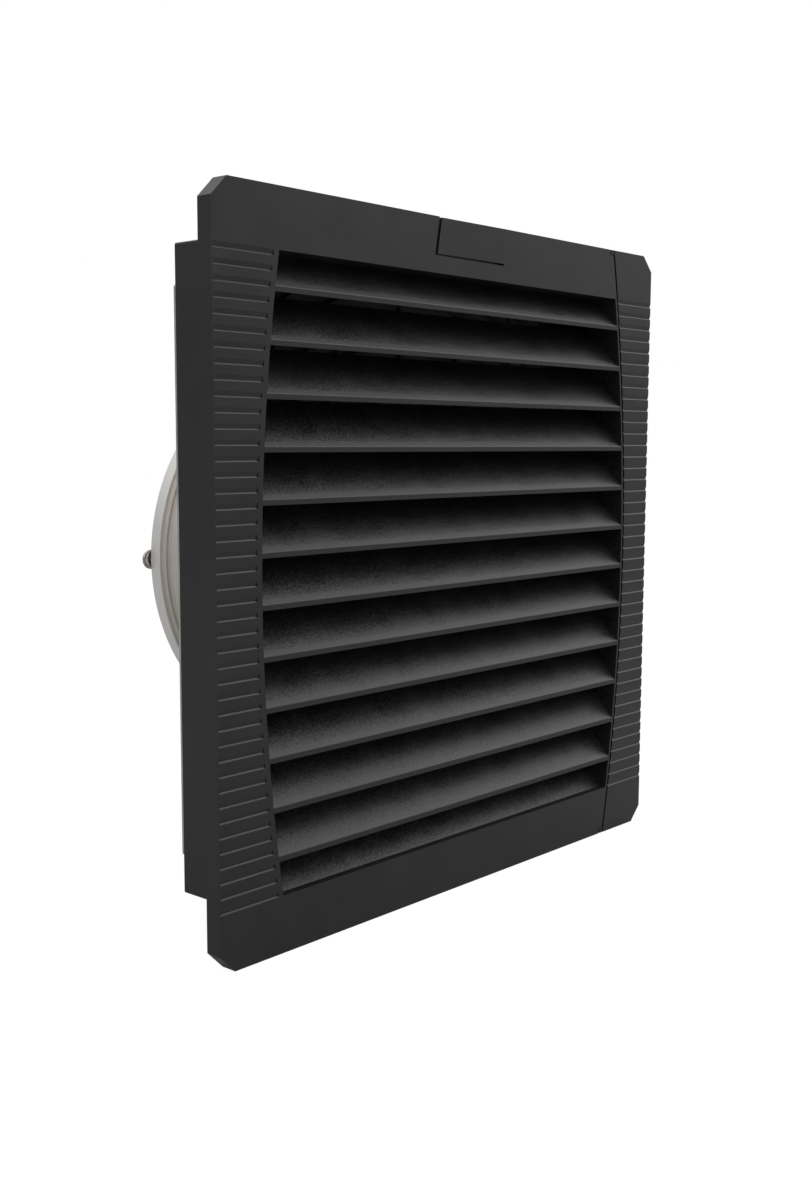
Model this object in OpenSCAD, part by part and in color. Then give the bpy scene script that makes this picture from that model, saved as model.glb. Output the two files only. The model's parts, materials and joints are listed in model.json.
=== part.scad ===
// Enclosure filter fan: a hinged louvred cover, a mounting frame that snaps into a square panel
// cut-out, a filter mat behind a ring grid, and a compact axial fan on a sheet plate behind it.
// +X is to the right seen from outside, +Y runs into the enclosure and +Z is up.
// The origin is the centre of the panel's outer surface, where the gasket rests.

/* [Face] */
// Width and height of the square face
face_w = 252; // [240:1:270]
// Cut at each corner of the face, along the edge
corner_cut = 6.4; // [3:0.1:10]
// Depth of the face from its front to the back of the flange
face_t = 6.6; // [6.2:0.1:9]
// Thickness of the cover's front wall
skin_t = 3.1; // [2.8:0.1:3.3]
// Thickness of the cover's rim wall, which hides the flange
rim_t = 2.2; // [1.6:0.1:3]
// Chamfer on the cover's edge beside the hinge strip
edge_chamfer = 0.6; // [0.4:0.1:0.8]

/* [Louvre] */
// Height of the plain band above and below the louvre opening
sill_h = 20; // [19:0.5:30]
// Width of the band beside the opening at mid height
side_band = 19.7; // [19.5:0.1:22]
// How far each side of the opening bows outwards
side_bow = 8.5; // [6:0.1:9]
// Distance from one slat to the next
slat_pitch = 17; // [16:0.1:18]
// Height of the middle of the slat row above the middle of the face
slat_row_z = -0.55; // [-1:0.05:1]
// Depth of the slats from the front of the face
slat_depth = 15.3; // [12:0.1:16]
// Thickness of a slat
slat_t = 1.6; // [1.2:0.1:2.2]
// Slope of the slats, rising inwards
slat_slope = 45; // [40:1:48]
// Height of the flat front lip of a slat
lip_h = 1.55; // [0.8:0.05:2]
// Radius of the rounded nose above the lip
nose_r = 0.6; // [0.4:0.1:1.6]
// Thickness of the wall round the louvre
louvre_wall = 1.1; // [0.8:0.1:1.2]

/* [Grip ribs] */
// Plain length at the top and bottom of the groove strips, at least
groove_end = 18; // [17:0.5:40]
// Distance from one groove to the next
groove_pitch = 5; // [4:0.1:5]
// Depth of a groove
groove_depth = 0.4; // [0.2:0.05:0.6]
// Height of a groove
groove_h = 2.05; // [1.4:0.05:2.6]
// Plain band between the left grooves and the opening
groove_margin = 2.1; // [1.5:0.1:4]
// Plain edge between the left side of the face and the grooves
groove_inset = 0.5; // [0.3:0.1:2]

/* [Name field] */
// Width of the bare name field at its top
field_w = 36.8; // [24:0.2:50]
// Height of the field, up to the top edge
field_h = 13.8; // [8:0.2:16]
// Slant of the field's left edge over its height
field_slant = 2.6; // [0:0.1:5]
// Depth of the field at its left side, from where it runs out to the right
field_depth = 0.8; // [0.3:0.1:1.2]
// Width of the shadow channel left of the field
channel_w = 2.3; // [1:0.1:3]
// Height of the shadow line below the field
channel_h = 0.8; // [0.5:0.1:1.5]
// Depth of the channel and the line
channel_depth = 1.6; // [0.8:0.1:2]

/* [Hinge] */
// Width of the cover's edge between the opening and the hinge strip
edge_w = 1.6; // [1.4:0.1:2.2]
// Gap between the cover and the hinge strip
split_gap = 0.5; // [0.4:0.05:0.8]
// Distance from the hinge axis to the split line, at the top and bottom edge of the face
hinge_inset = 1.058; // [0.9:0.001:1.4]
// Depth of the hinge axis behind the front
hinge_depth = 1.6; // [1.5:0.1:1.8]
// Radius of the hinge pins
hinge_pin_r = 0.8; // [0.6:0.05:0.9]
// Length of a hinge pin
hinge_pin_l = 12; // [8:0.5:14]
// Height of the ear that holds a pin, at the top and bottom edge
ear_h = 2; // [1.6:0.1:3]
// Step behind the cover's edge right of the hinge axis, which shortens its swing
edge_relief = 0.8; // [0.6:0.1:1]

/* [Mounting frame] */
// How far the face reaches past the frame behind it, which passes through the cut-out
flange_over = 15.75; // [15:0.05:16.25]
// Depth of the frame behind the panel's outer surface
body_d = 29; // [28:0.5:34]
// Wall of the frame
wall_t = 2; // [1.8:0.1:2.2]
// Corner radius of the frame's outside
body_corner_r = 0.8; // [0.4:0.1:2]
// Thickness of the flange behind the cover
flange_t = 3.2; // [2.8:0.1:3.2]
// Width of the solid rim at the back of the frame
rear_rim_w = 7.25; // [6:0.25:9]
// Depth of the solid rim at the back of the frame
rear_rim_d = 7.9; // [6.5:0.1:9]
// Thickness of the gasket, pressed against the panel
gasket_t = 1; // [0.8:0.1:1.2]
// Width of the gasket band
gasket_w = 7; // [4:0.5:8]

/* [Filter] */
// Depth of the ring grid
grid_t = 1.7; // [1.2:0.1:2]
// Distance between the rings of the grid
ring_pitch = 10.55; // [8:0.05:12]
// Width of one ring or bar of the grid
ring_w = 1.5; // [1:0.1:2.5]
// Radius of the innermost ring of the grid
ring_first_r = 8; // [6:0.5:12]
// Distance between the upright bars of the grid
bar_pitch = 35; // [25:1:50]
// Width of the ledge in the frame that holds the grid's edge
ledge_w = 4; // [3:0.5:6]
// Thickness of the ledge
ledge_t = 1.8; // [1.2:0.1:2.5]
// Thickness of the filter mat
mat_t = 3.7; // [2.5:0.1:3.8]

/* [Panel clips] */
// Place of the clips to each side of the middle
clip_x = 62; // [40:1:80]
// Width of a clip
clip_w = 14; // [10:0.5:20]
// Sheet thickness of a clip
clip_t = 0.6; // [0.4:0.05:0.8]
// Radius of the pin in the clip's eye
clip_pin_r = 0.55; // [0.45:0.05:0.6]
// Distance of the pin from the back of the frame
clip_pin_in = 5; // [4.6:0.1:5.5]
// Distance from the frame's outside down to the pin's axis
clip_pin_drop = 0.95; // [0.9:0.05:1.1]
// Depth of the clip's peak behind the panel's outer surface
clip_peak_y = 6.2; // [5.5:0.1:7]
// Height of the peak above the frame's outside
clip_peak_h = 3.95; // [3:0.05:4]
// Depth of the clip's front end behind the panel's outer surface
clip_foot_y = 2.9; // [2.6:0.1:3.5]
// Height of the front end above the frame's outside
clip_foot_h = 1.15; // [1:0.05:1.4]

/* [Fan plate] */
// Thickness of the sheet plate
plate_t = 1; // [0.8:0.1:1.5]
// Cut at each corner of the plate, along the edge
plate_cut = 14; // [8:0.5:20]
// Depth of the pressed tray that holds the mat and carries the fan
seat_h = 4; // [3.8:0.1:6]
// Corner radius of the tray
tray_corner_r = 6; // [3:0.5:12]
// How far the edge of the plate's air hole stands inside the fan's barrel
inlet_in = 1.5; // [1:0.1:8]
// Distance of the plate's screws from the middle of a side
plate_screw_x = 60; // [40:1:80]
// Thickness of the seal between the plate and the fan
seal_t = 0.9; // [0.5:0.1:1.5]

/* [Fan] */
// Distance from the side of the plate's tray to the fan
fan_in = 28.45; // [27:0.05:30]
// Depth of the fan from flange to flange
fan_depth = 55; // [53:0.5:60]
// Width of the fan's flanges, from the bore to their edge
fan_flange_w = 6.25; // [5.8:0.05:6.8]
// Wall of the fan's barrel
barrel_t = 3.2; // [3:0.1:3.6]
// Thickness of the rear flange
rear_flange_t = 5.5; // [4:0.1:7]
// How far the step under the rear flange stands out from the barrel
step_out = 1.5; // [1:0.1:2]
// Height of the step under the rear flange
step_h = 1.7; // [1:0.1:3]
// Thickness of the front flange
front_flange_t = 4.6; // [4:0.1:6]
// Distance of the flanges' screws from the flanges' edge
fan_screw_in = 3.15; // [2.95:0.05:3.3]
// Number of struts that carry the motor
strut_count = 4; // [3:1:6]
// Width of a strut
strut_w = 5; // [4:0.5:8]
// Depth of a strut
strut_d = 5.4; // [4:0.2:6]
// Radius of the motor's base
base_r = 33; // [28:0.5:35]
// Number of blades
blade_count = 7; // [5:1:9]
// Gap between the blade tips and the barrel
tip_gap = 1; // [0.6:0.1:1.5]
// Thickness of a blade
blade_t = 1.8; // [1.2:0.1:2.4]
// Outer radius of the rotor cup
rotor_r = 36; // [34:0.5:38]
// Depth of the rotor cup
rotor_d = 32; // [28:0.5:33]
// Radius of the rotor's shaft
shaft_r = 3; // [2.5:0.1:3.4]

/* [Finger guard] */
// Radius of the guard's wire
wire_r = 0.75; // [0.6:0.05:1]
// Number of rings in the guard
guard_rings = 7; // [5:1:8]
// Radius of the guard's innermost ring
guard_first_r = 14; // [10:0.5:20]
// Distance from the guard's outermost ring to the barrel's bore
guard_in = 2.5; // [2.4:0.1:6]
// Outer width of a fixing loop
loop_w = 7.6; // [7:0.1:9]
// How far a fixing loop reaches past the fan's flange
loop_out = 3.25; // [2.5:0.05:5]

/* [Terminal box] */
// Width of the box
box_w = 42; // [36:0.5:44]
// Height of the box
box_h = 34; // [30:0.5:36]
// Depth of the box without its lid
box_d = 26; // [24:0.5:30]
// Wall of the box
box_wall = 1.8; // [1.4:0.1:2.4]
// Distance of the box's middle from the right side of the frame
box_in = 29.25; // [28.25:0.25:30.25]
// Distance of the box's middle from the bottom of the frame
box_up = 27.25; // [26.25:0.25:28.25]
// Radius of the cable entry in the bottom wall
entry_r = 6.25; // [5:0.25:8]
// Number of poles of the terminal block
pole_count = 3; // [2:1:3]
// Distance from one pole to the next
pole_pitch = 9; // [7:0.5:10]

/* [Hidden] */

// Overrun of every cut past the face it opens
cut = 0.5;
// Gap between pieces that move past each other
free_gap = 0.3;
// Gap between pieces that are put together by hand
seat_gap = 0.2;
// Radial clearance of a pin or shaft that turns in a hole
run_gap = 0.05;
// Radial clearance of a pin that is pressed into a hole
press_gap = 0.01;
// Sides of small round shapes, and of the long arcs of the face
$fn = 48;
arc_fn = 720;

face_y = -gasket_t - face_t;
flange_y = -gasket_t - flange_t;
rim_y = -gasket_t - free_gap;
half = face_w / 2;
body = half - flange_over;
inner = body - wall_t;

// Both sides of the opening and the split are arcs of one radius
opening_z = half - sill_h;
opening_x = half - side_band;
bow_r = (opening_z * opening_z + side_bow * side_bow) / (2 * side_bow);
split_x = opening_x + edge_w;
strip_x = split_x + split_gap;
split_end_x = split_x - bow_r + sqrt(bow_r * bow_r - half * half);

// As many slats and grooves as there is height for
slat_count = floor(2 * opening_z / slat_pitch);
groove_count = floor((face_w - 2 * groove_end) / groove_pitch);

// The hinge axis stands in the cover's front wall
hinge_x = split_end_x - hinge_inset;
hinge_y = face_y + hinge_depth;
ear_r = hinge_depth;
ear_z = half - ear_h;
skirt_end_x = hinge_x - ear_r - 3 * free_gap;
pocket_floor_t = 0.6;
pocket_y = -gasket_t - pocket_floor_t;
pocket_back_y = -gasket_t;
pocket_step = 0.5;
pocket_reach = 5.6;
snap_bead_r = 0.5;
snap_bead_out = 0.3;
snap_bead_l = 12;
snap_bead_z = 70;

flange_half = half - rim_t - 2 * seat_gap;
gasket_in = body + 2.25 * gasket_t;
plate_edge = body;

rim_front_y = body_d - rear_rim_d;
rim_in = body - rear_rim_w;
grid_back_y = body_d - seat_gap;
grid_front_y = grid_back_y - grid_t;
ledge_back_y = grid_front_y - seat_gap;
grid_half = rim_in - seat_gap;
tray_out = rim_in + seat_gap;
tray_in = tray_out - plate_t;
mat_half = tray_in - seat_gap;

clip_pin_y = body_d - clip_pin_in;
clip_pin_z = body - clip_pin_drop;
clip_eye_r = clip_pin_r + clip_t;
clip_pin_l = clip_w + 8 * clip_t;
clip_side_gap = 0.5;
clip_window_run = 2.8;
clip_window_back = clip_peak_y + clip_window_run;
clip_bed = 0.85;

plate_back_y = body_d + plate_t;
seat_y = plate_back_y + seat_h;
fan_y = seat_y + seal_t;
fan_back_y = fan_y + fan_depth;
fan_r = tray_out - fan_in;
bore_r = fan_r - fan_flange_w;
inlet_r = bore_r - inlet_in;
barrel_r = bore_r + barrel_t;
step_r = barrel_r + step_out;
fan_screw_r = fan_r - fan_screw_in;
plate_screw_in = rear_rim_w / 2;
plate_screw_z = body - plate_screw_in;
screw_r = 1.5;
screw_head_r = 2.9;
screw_head_t = 1.8;
screw_slot_w = 0.8;
plate_screw_l = 7;
front_screw_l = front_flange_t - 2 * seat_gap;
rear_screw_l = 6;

strut_setback = 10.5;
strut_y = fan_back_y - strut_setback;
base_t = 4;
base_y = strut_y - base_t;
bearing_r = 7;
bearing_t = 5;
bearing_tube_r = 9;
stator_r = 28.6;
stator_d = 17;
winding_d = 4.5;
winding_r = 24;
cage_t = 4.6;
rotor_wall = 2;
rotor_back_gap = 1.4;
rotor_back_y = base_y - rotor_back_gap;
rotor_front_y = rotor_back_y - rotor_d;
rotor_boss_r = 6;
rotor_boss_d = 2;
stator_setback = 9;
stator_y = rotor_front_y + stator_setback;
tube_gap = 1;
tube_front_y = rotor_front_y + rotor_wall + rotor_boss_d + tube_gap;
shaft_groove_d = 0.4;
shaft_out = 0.5;
clip_ring_t = 0.7;
clip_ring_r = 4.6;
impeller_ring_t = 1.5;
impeller_d = 29;
impeller_y = rotor_front_y + rotor_d - impeller_d;
blade_shift = 1;
blade_tip_r = bore_r - tip_gap;

loop_bend_r = loop_w / 2 - wire_r;
loop_reach = fan_r + loop_out;
guard_y = fan_back_y + wire_r;
guard_last_r = bore_r - guard_in;
guard_step = (guard_last_r - guard_first_r) / (guard_rings - 1);
washer_t = 0.8;
washer_r = 3.4;

box_x = body - box_in;
box_drop = body - box_up;
box_top_z = -box_drop + box_h / 2;
box_bottom_z = -box_drop - box_h / 2;
box_y = seat_y;
box_back_y = box_y + box_d;
lid_t = 2;
lid_y = box_back_y + seat_gap;
lid_pin_r = 1;
lid_barrel_r = 2.2;
lid_axis_y = lid_y + lid_t / 2;
lid_axis_z = box_top_z + lid_barrel_r + seat_gap;
lid_barrel_w = 18;
lid_ear_w = 4;
lid_lip_t = 1.2;
lid_lip_d = 1.4;
block_h = 13;
block_d = 11;
block_drop = 10.5;
block_z = box_top_z - box_wall - block_drop;
block_end = 2.2;
pole_screw_r = 2.1;
pole_well_r = 2.5;
pole_wire_r = 1.9;

// A flat shape in the X-Z plane, carried from one depth to another
module slab(from_y, to_y) {
    translate([0, to_y, 0]) rotate([90, 0, 0]) linear_extrude(to_y - from_y) children();
}

// A shape turned about the fan axis, drawn as radius and depth
module turned() {
    rotate([-90, 0, 0]) rotate_extrude($fn = 96) children();
}

// A shape in the Y-Z plane, carried along X
module along_x(from_x, to_x) {
    translate([from_x, 0, 0]) rotate([90, 0, 90]) linear_extrude(to_x - from_x) children();
}

// A round bar or hole that runs along Y
module rod_y(r, from_y, to_y) {
    translate([0, from_y, 0]) rotate([-90, 0, 0]) cylinder(r = r, h = to_y - from_y);
}

// A square with its corners cut off
module cut_square(h, c) {
    polygon([[-h + c, -h], [h - c, -h], [h, -h + c], [h, h - c],
        [h - c, h], [-h + c, h], [-h, h - c], [-h, -h + c]]);
}

// A rectangle with round corners, as two bars and four discs
module round_rect(w, h, r) {
    square([w - 2 * r, h], center = true);
    square([w, h - 2 * r], center = true);
    for (x = [-1, 1], z = [-1, 1]) translate([x * (w / 2 - r), z * (h / 2 - r)]) circle(r);
}

// The right arc of the bowed outline, moved outwards by a distance
module bow_disc(reach) {
    translate([reach - bow_r, 0]) circle(bow_r, $fn = arc_fn);
}

// The bowed louvre opening, grown on all sides
module bowed_opening(grow) {
    intersection() {
        square([face_w, 2 * (opening_z + grow)], center = true);
        bow_disc(opening_x + grow);
        mirror([1, 0]) bow_disc(opening_x + grow);
    }
}

// The face's outline left of the hinge strip
module cover_outline(h, c) {
    intersection() {
        cut_square(h, c);
        bow_disc(split_x);
    }
}

// One grip groove in profile: a long slope inwards above a short flank outwards
module groove_profile() {
    flank_share = 0.24;
    half_h = groove_h / 2;
    polygon([[face_y - cut, half_h], [face_y, half_h],
        [face_y + groove_depth, -half_h + flank_share * groove_h],
        [face_y, -half_h], [face_y - cut, -half_h]]);
}

// The row of grooves over a strip from one X to another
module grooves(from_x, to_x) {
    for (i = [0 : groove_count - 1])
        translate([0, 0, (i - (groove_count - 1) / 2) * groove_pitch])
            along_x(from_x, to_x) groove_profile();
}

// A slat's section: lip, round nose and sloping blade
module slat_profile() {
    nose_y = face_y + nose_r;
    tip_y = nose_y - nose_r * sin(slat_slope);
    tip_z = lip_h + nose_r * cos(slat_slope);
    rear_y = face_y + slat_depth;
    rise = (rear_y - tip_y) * tan(slat_slope);
    thick_z = slat_t / cos(slat_slope);
    under_z = tip_z - (tip_y - face_y) * tan(slat_slope) - thick_z;
    under_y = face_y - under_z / tan(slat_slope);
    intersection() {
        translate([nose_y, lip_h]) circle(nose_r);
        translate([face_y, lip_h]) square([nose_r, nose_r]);
    }
    polygon([[face_y, 0], [face_y, lip_h], [nose_y, lip_h], [tip_y, tip_z],
        [rear_y, tip_z + rise], [rear_y, tip_z + rise - thick_z], [under_y, 0]]);
}

// The slats, one more than the whole ones so that the last emerges behind the sill
module slats() {
    first_z = slat_row_z + (slat_count - 1) / 2 * slat_pitch;
    intersection() {
        union() for (i = [0 : slat_count])
            translate([0, 0, first_z - i * slat_pitch])
                along_x(-opening_x - louvre_wall, opening_x + louvre_wall) slat_profile();
        slab(face_y - cut, face_y + slat_depth + cut) bowed_opening(louvre_wall);
        union() {
            slab(face_y - cut, face_y + slat_depth + cut) bowed_opening(0);
            slab(face_y + skin_t, face_y + slat_depth) bowed_opening(louvre_wall);
        }
    }
}

// The bare name field: a wedge that runs out to the right, with a channel left of it and below
module name_field() {
    left_x = -field_w / 2 + channel_w;
    right_x = field_w / 2 + field_slant / 2;
    low_z = half - field_h;
    slab(face_y - cut, face_y + channel_depth)
        polygon([[left_x - channel_w, half + cut], [left_x, half + cut],
            [left_x - field_slant, low_z], [left_x - channel_w - field_slant, low_z]]);
    slab(face_y - cut, face_y + channel_depth)
        translate([left_x - channel_w - field_slant, low_z])
            square([right_x - left_x + channel_w + field_slant, channel_h]);
    intersection() {
        translate([0, 0, low_z + channel_h / 2]) linear_extrude(field_h)
            polygon([[left_x - field_slant, face_y - cut], [right_x, face_y - cut], [right_x, face_y],
                [left_x, face_y + field_depth], [left_x - field_slant, face_y + field_depth]]);
        slab(face_y - 2 * cut, face_y + channel_depth)
            polygon([[left_x - cut, half + cut], [right_x, half + cut], [right_x, low_z],
                [left_x - cut - field_slant, low_z]]);
    }
}

// The chamfer that the cover's split edge carries along its front
module split_chamfer() {
    intersection() {
        translate([split_x - bow_r, face_y, 0]) rotate([-90, 0, 0])
            rotate_extrude($fn = arc_fn) polygon([[bow_r - edge_chamfer - cut, -cut],
                [bow_r + cut, -cut], [bow_r + cut, edge_chamfer + cut]]);
        slab(face_y - cut, face_y + skin_t) translate([half, 0]) square(face_w, center = true);
    }
}

module front_cover() {
    color([0.16, 0.16, 0.165]) difference() {
        union() {
            slab(face_y, face_y + skin_t) cover_outline(half, corner_cut);
            slab(face_y, rim_y) difference() {
                cover_outline(half, corner_cut);
                cut_square(half - rim_t, corner_cut - rim_t * tan(22.5));
                translate([skirt_end_x, -half - cut]) square(face_w + 2 * cut);
            }
            for (z = [-1, 1]) translate([-half + rim_t, rim_y - 2 * snap_bead_r,
                z * snap_bead_z - snap_bead_l / 2]) intersection() {
                translate([snap_bead_out - snap_bead_r, 0, 0])
                    cylinder(r = snap_bead_r, h = snap_bead_l);
                translate([-rim_t / 2, -rim_t / 2, 0]) cube([rim_t, rim_t, snap_bead_l]);
            }
        }
        slab(face_y - cut, 0) bowed_opening(0);
        // grip grooves, ended square at a margin from the opening
        intersection() {
            grooves(-half + groove_inset, 0);
            slab(face_y - cut, 0) difference() {
                translate([-half - cut, -half]) square([half, face_w]);
                mirror([1, 0]) bow_disc(opening_x + groove_margin);
            }
        }
        split_chamfer();
        name_field();
        // room for the frame's ears, and the hinge pins' holes
        for (z = [0, 1]) mirror([0, 0, z]) {
            translate([hinge_x, hinge_y, ear_z - free_gap]) {
                cylinder(r = norm([ear_r, hinge_depth]) + free_gap, h = ear_h + free_gap + cut);
                translate([0, -hinge_depth - cut, 0]) cube([side_bow, face_t + cut, ear_h + free_gap + cut]);
            }
            translate([hinge_x + hinge_depth, face_y + skin_t - edge_relief,
                opening_z + louvre_wall + seat_gap])
                cube([side_bow, skin_t, half - opening_z]);
            translate([hinge_x, hinge_y, half - hinge_pin_l - free_gap])
                cylinder(r = hinge_pin_r + run_gap, h = hinge_pin_l);
        }
    }
}

// The slats and the bowed wall round them, seated behind the cover's opening
module louvre() {
    color([0.16, 0.16, 0.165]) {
        slab(face_y + skin_t, face_y + slat_depth) difference() {
            bowed_opening(louvre_wall);
            bowed_opening(0);
        }
        slats();
    }
}

// The strip right of the split, with its grooves
module hinge_strip() {
    difference() {
        slab(face_y, flange_y) difference() {
            cut_square(half, corner_cut);
            bow_disc(strip_x);
            translate([-face_w, -half - cut]) square([face_w, face_w + 2 * cut]);
        }
        grooves(opening_x - side_bow + edge_w / 2, half + cut);
    }
}

// An ear at the top edge that holds a hinge pin
module hinge_ear() {
    ear_share = 0.85;
    translate([hinge_x, hinge_y, ear_z]) {
        cylinder(r = ear_r, h = ear_h);
        translate([-ear_share * ear_r, 0, 0])
            cube([2 * ear_share * ear_r, flange_y - hinge_y + cut, ear_h]);
        translate([0, -ear_share * hinge_depth, 0])
            cube([side_bow / 2, flange_y - hinge_y + ear_share * hinge_depth + cut, ear_h]);
    }
}

// Room behind the cover's edge as it swings in at the hinge, deeper over the body's wall
module hinge_pocket() {
    x = hinge_x - hinge_depth - free_gap;
    w = hinge_depth + free_gap + pocket_reach;
    translate([x, flange_y - cut, opening_z])
        cube([w, pocket_y - flange_y + cut, ear_z - opening_z]);
    translate([x, flange_y - cut, opening_z])
        cube([w, pocket_back_y - flange_y + cut, body - pocket_step - opening_z]);
}

// The bed, window and eye notch of one panel clip, in the top wall
module clip_recess() {
    w = clip_w + 2 * clip_side_gap;
    translate([-w / 2, clip_foot_y - 1.5 * clip_t, body - clip_bed])
        cube([w, clip_pin_y - clip_foot_y, clip_bed + cut]);
    translate([-w / 2, clip_foot_y - 1.5 * clip_t, inner - cut])
        cube([w, clip_window_back - clip_foot_y, wall_t + 2 * cut]);
    translate([-w / 2, clip_pin_y - clip_eye_r - clip_side_gap, clip_pin_z - clip_eye_r - free_gap])
        cube([w, 2 * clip_eye_r + 2 * clip_side_gap, clip_eye_r + clip_pin_drop + free_gap + cut]);
    translate([-clip_pin_l / 2, clip_pin_y, clip_pin_z]) rotate([0, 90, 0])
        cylinder(r = clip_pin_r + press_gap, h = clip_pin_l);
}

// A shape put at each of the four clips
module at_clips() {
    for (z = [0, 1], x = [-1, 1]) mirror([0, 0, z]) translate([x * clip_x, 0, 0]) children();
}

// Places of the plate's screws along the four sides
module at_plate_screws() {
    for (a = [0, 180], x = [-1, 1])
        rotate([0, a, 0]) translate([x * plate_screw_x, 0, plate_screw_z]) children();
}

module mounting_frame() {
    color([0.15, 0.15, 0.155]) difference() {
        union() {
            difference() {
                union() {
                    slab(flange_y, -gasket_t) intersection() {
                        cut_square(half, corner_cut);
                        union() {
                            cut_square(flange_half, corner_cut - rim_t * tan(22.5));
                            translate([skirt_end_x + free_gap, -half]) square([face_w, face_w]);
                        }
                    }
                    slab(flange_y, body_d) round_rect(2 * body, 2 * body, body_corner_r);
                }
                for (z = [0, 1]) mirror([0, 0, z]) hinge_pocket();
            }
            hinge_strip();
            for (z = [0, 1]) mirror([0, 0, z]) hinge_ear();
        }
        slab(flange_y - cut, rim_front_y) square(2 * inner, center = true);
        slab(rim_front_y - cut, ledge_back_y) square(2 * (rim_in - ledge_w), center = true);
        slab(rim_front_y - cut, ledge_back_y - ledge_t) square(2 * rim_in, center = true);
        slab(ledge_back_y, body_d + cut) square(2 * rim_in, center = true);
        // snap grooves for the cover's beads
        for (z = [-1, 1]) translate([-half + rim_t + snap_bead_out - snap_bead_r,
            rim_y - 2 * snap_bead_r, z * snap_bead_z - snap_bead_l / 2 - free_gap])
                cylinder(r = snap_bead_r + seat_gap, h = snap_bead_l + 2 * free_gap);
        at_clips() clip_recess();
        at_plate_screws() rod_y(screw_r + press_gap, body_d - plate_screw_l, body_d + cut);
        for (z = [0, 1]) mirror([0, 0, z]) translate([hinge_x, hinge_y, ear_z - cut])
            cylinder(r = hinge_pin_r + press_gap, h = ear_h + 2 * cut);
    }
}

module panel_gasket() {
    color([0.25, 0.25, 0.26]) slab(-gasket_t, 0) difference() {
        round_rect(2 * (gasket_in + gasket_w), 2 * (gasket_in + gasket_w), gasket_w);
        square(2 * gasket_in, center = true);
    }
}

module hinge_pins() {
    color([0.7, 0.7, 0.72]) for (z = [0, 1]) mirror([0, 0, z])
        translate([hinge_x, hinge_y, half - hinge_pin_l]) cylinder(r = hinge_pin_r, h = hinge_pin_l);
}

// The ring grid in front of the mat: rings about the fan axis, upright bars and a square border
module ring_grid() {
    last_r = grid_half * sqrt(2);
    bars = floor(grid_half / bar_pitch);
    border = ledge_w + seat_gap;
    color([0.12, 0.12, 0.125]) slab(grid_front_y, grid_back_y) {
        difference() {
            square(2 * grid_half, center = true);
            square(2 * (grid_half - border), center = true);
        }
        intersection() {
            square(2 * grid_half, center = true);
            union() {
                for (r = [ring_first_r : ring_pitch : last_r]) difference() {
                    circle(r + ring_w / 2, $fn = 96);
                    circle(r - ring_w / 2, $fn = 96);
                }
                for (i = [-bars : bars]) translate([i * bar_pitch - ring_w / 2, -grid_half])
                    square([ring_w, 2 * grid_half]);
            }
        }
    }
}

// The mat in the plate's tray, dented by the heads of the fan's screws
module filter_mat() {
    front = seat_y - plate_t - seat_gap - mat_t;
    color([0.2, 0.2, 0.2]) difference() {
        slab(front, front + mat_t) round_rect(2 * mat_half, 2 * mat_half, tray_corner_r - plate_t);
        at_fan_screws(45) rod_y(screw_head_r + seat_gap, seat_y - plate_t - screw_head_t - seat_gap,
            seat_y);
    }
}

// A bent strip of one thickness round a mid line, with mitred corners
function unit(v) = v / norm(v);
function left_of(v) = [-v[1], v[0]];
function strip(p, t) =
    let (n = len(p) - 1,
        u = [for (i = [0 : n - 1]) unit(p[i + 1] - p[i])],
        m = [for (i = [0 : n]) i == 0 ? left_of(u[0]) : i == n ? left_of(u[n - 1])
            : (left_of(u[i - 1]) + left_of(u[i])) / (1 + u[i - 1] * u[i])])
    concat([for (i = [0 : n]) p[i] + m[i] * t / 2], [for (i = [n : -1 : 0]) p[i] - m[i] * t / 2]);

// A spring clip for the top wall: eye, rising leaf, peak and slanted front end
module panel_clip() {
    eye = [clip_pin_y, clip_pin_z];
    leaf = eye + [0, clip_pin_r + clip_t / 4];
    peak = [clip_peak_y, body + clip_peak_h];
    foot = [clip_foot_y, body + clip_foot_h];
    color([0.62, 0.63, 0.65]) along_x(-clip_w / 2, clip_w / 2) difference() {
        union() {
            translate(eye) circle(clip_eye_r);
            polygon(strip([leaf, peak + [clip_t, 0], peak - [clip_t, 0], foot], clip_t));
        }
        translate(eye) circle(clip_pin_r + run_gap);
    }
}

module clip_top_left() { translate([-clip_x, 0, 0]) panel_clip(); }
module clip_top_right() { translate([clip_x, 0, 0]) panel_clip(); }
module clip_bottom_left() { mirror([0, 0, 1]) clip_top_left(); }
module clip_bottom_right() { mirror([0, 0, 1]) clip_top_right(); }

module clip_pins() {
    color([0.7, 0.7, 0.72]) at_clips() translate([-clip_pin_l / 2, clip_pin_y, clip_pin_z])
        rotate([0, 90, 0]) cylinder(r = clip_pin_r, h = clip_pin_l);
}

// Places of the screws on the fan's flanges
module at_fan_screws(turn) {
    for (a = [0 : 90 : 270]) rotate([0, a + turn, 0]) translate([fan_screw_r, 0, 0]) children();
}

// Sheet plate with cut corners, a pressed square tray and the fan's air hole
module fan_plate() {
    color([0.66, 0.65, 0.62]) difference() {
        union() {
            slab(body_d, plate_back_y) cut_square(plate_edge, plate_cut);
            slab(body_d, seat_y) round_rect(2 * tray_out, 2 * tray_out, tray_corner_r);
        }
        slab(body_d - cut, seat_y - plate_t) round_rect(2 * tray_in, 2 * tray_in, tray_corner_r - plate_t);
        rod_y(inlet_r, body_d, seat_y + cut, $fn = 96);
        at_plate_screws() rod_y(screw_r + run_gap, body_d - cut, plate_back_y + cut);
        at_fan_screws(45) rod_y(screw_r + run_gap, body_d, seat_y + cut);
    }
}

// A slotted screw along Y with its head at the back
module rear_screw(head_y, l) {
    rod_y(screw_r, head_y - l, head_y + cut / 2);
    difference() {
        rod_y(screw_head_r, head_y, head_y + screw_head_t);
        translate([-screw_head_r, head_y + screw_head_t / 2, -screw_slot_w / 2])
            cube([2 * screw_head_r, screw_head_t, screw_slot_w]);
    }
}

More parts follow.
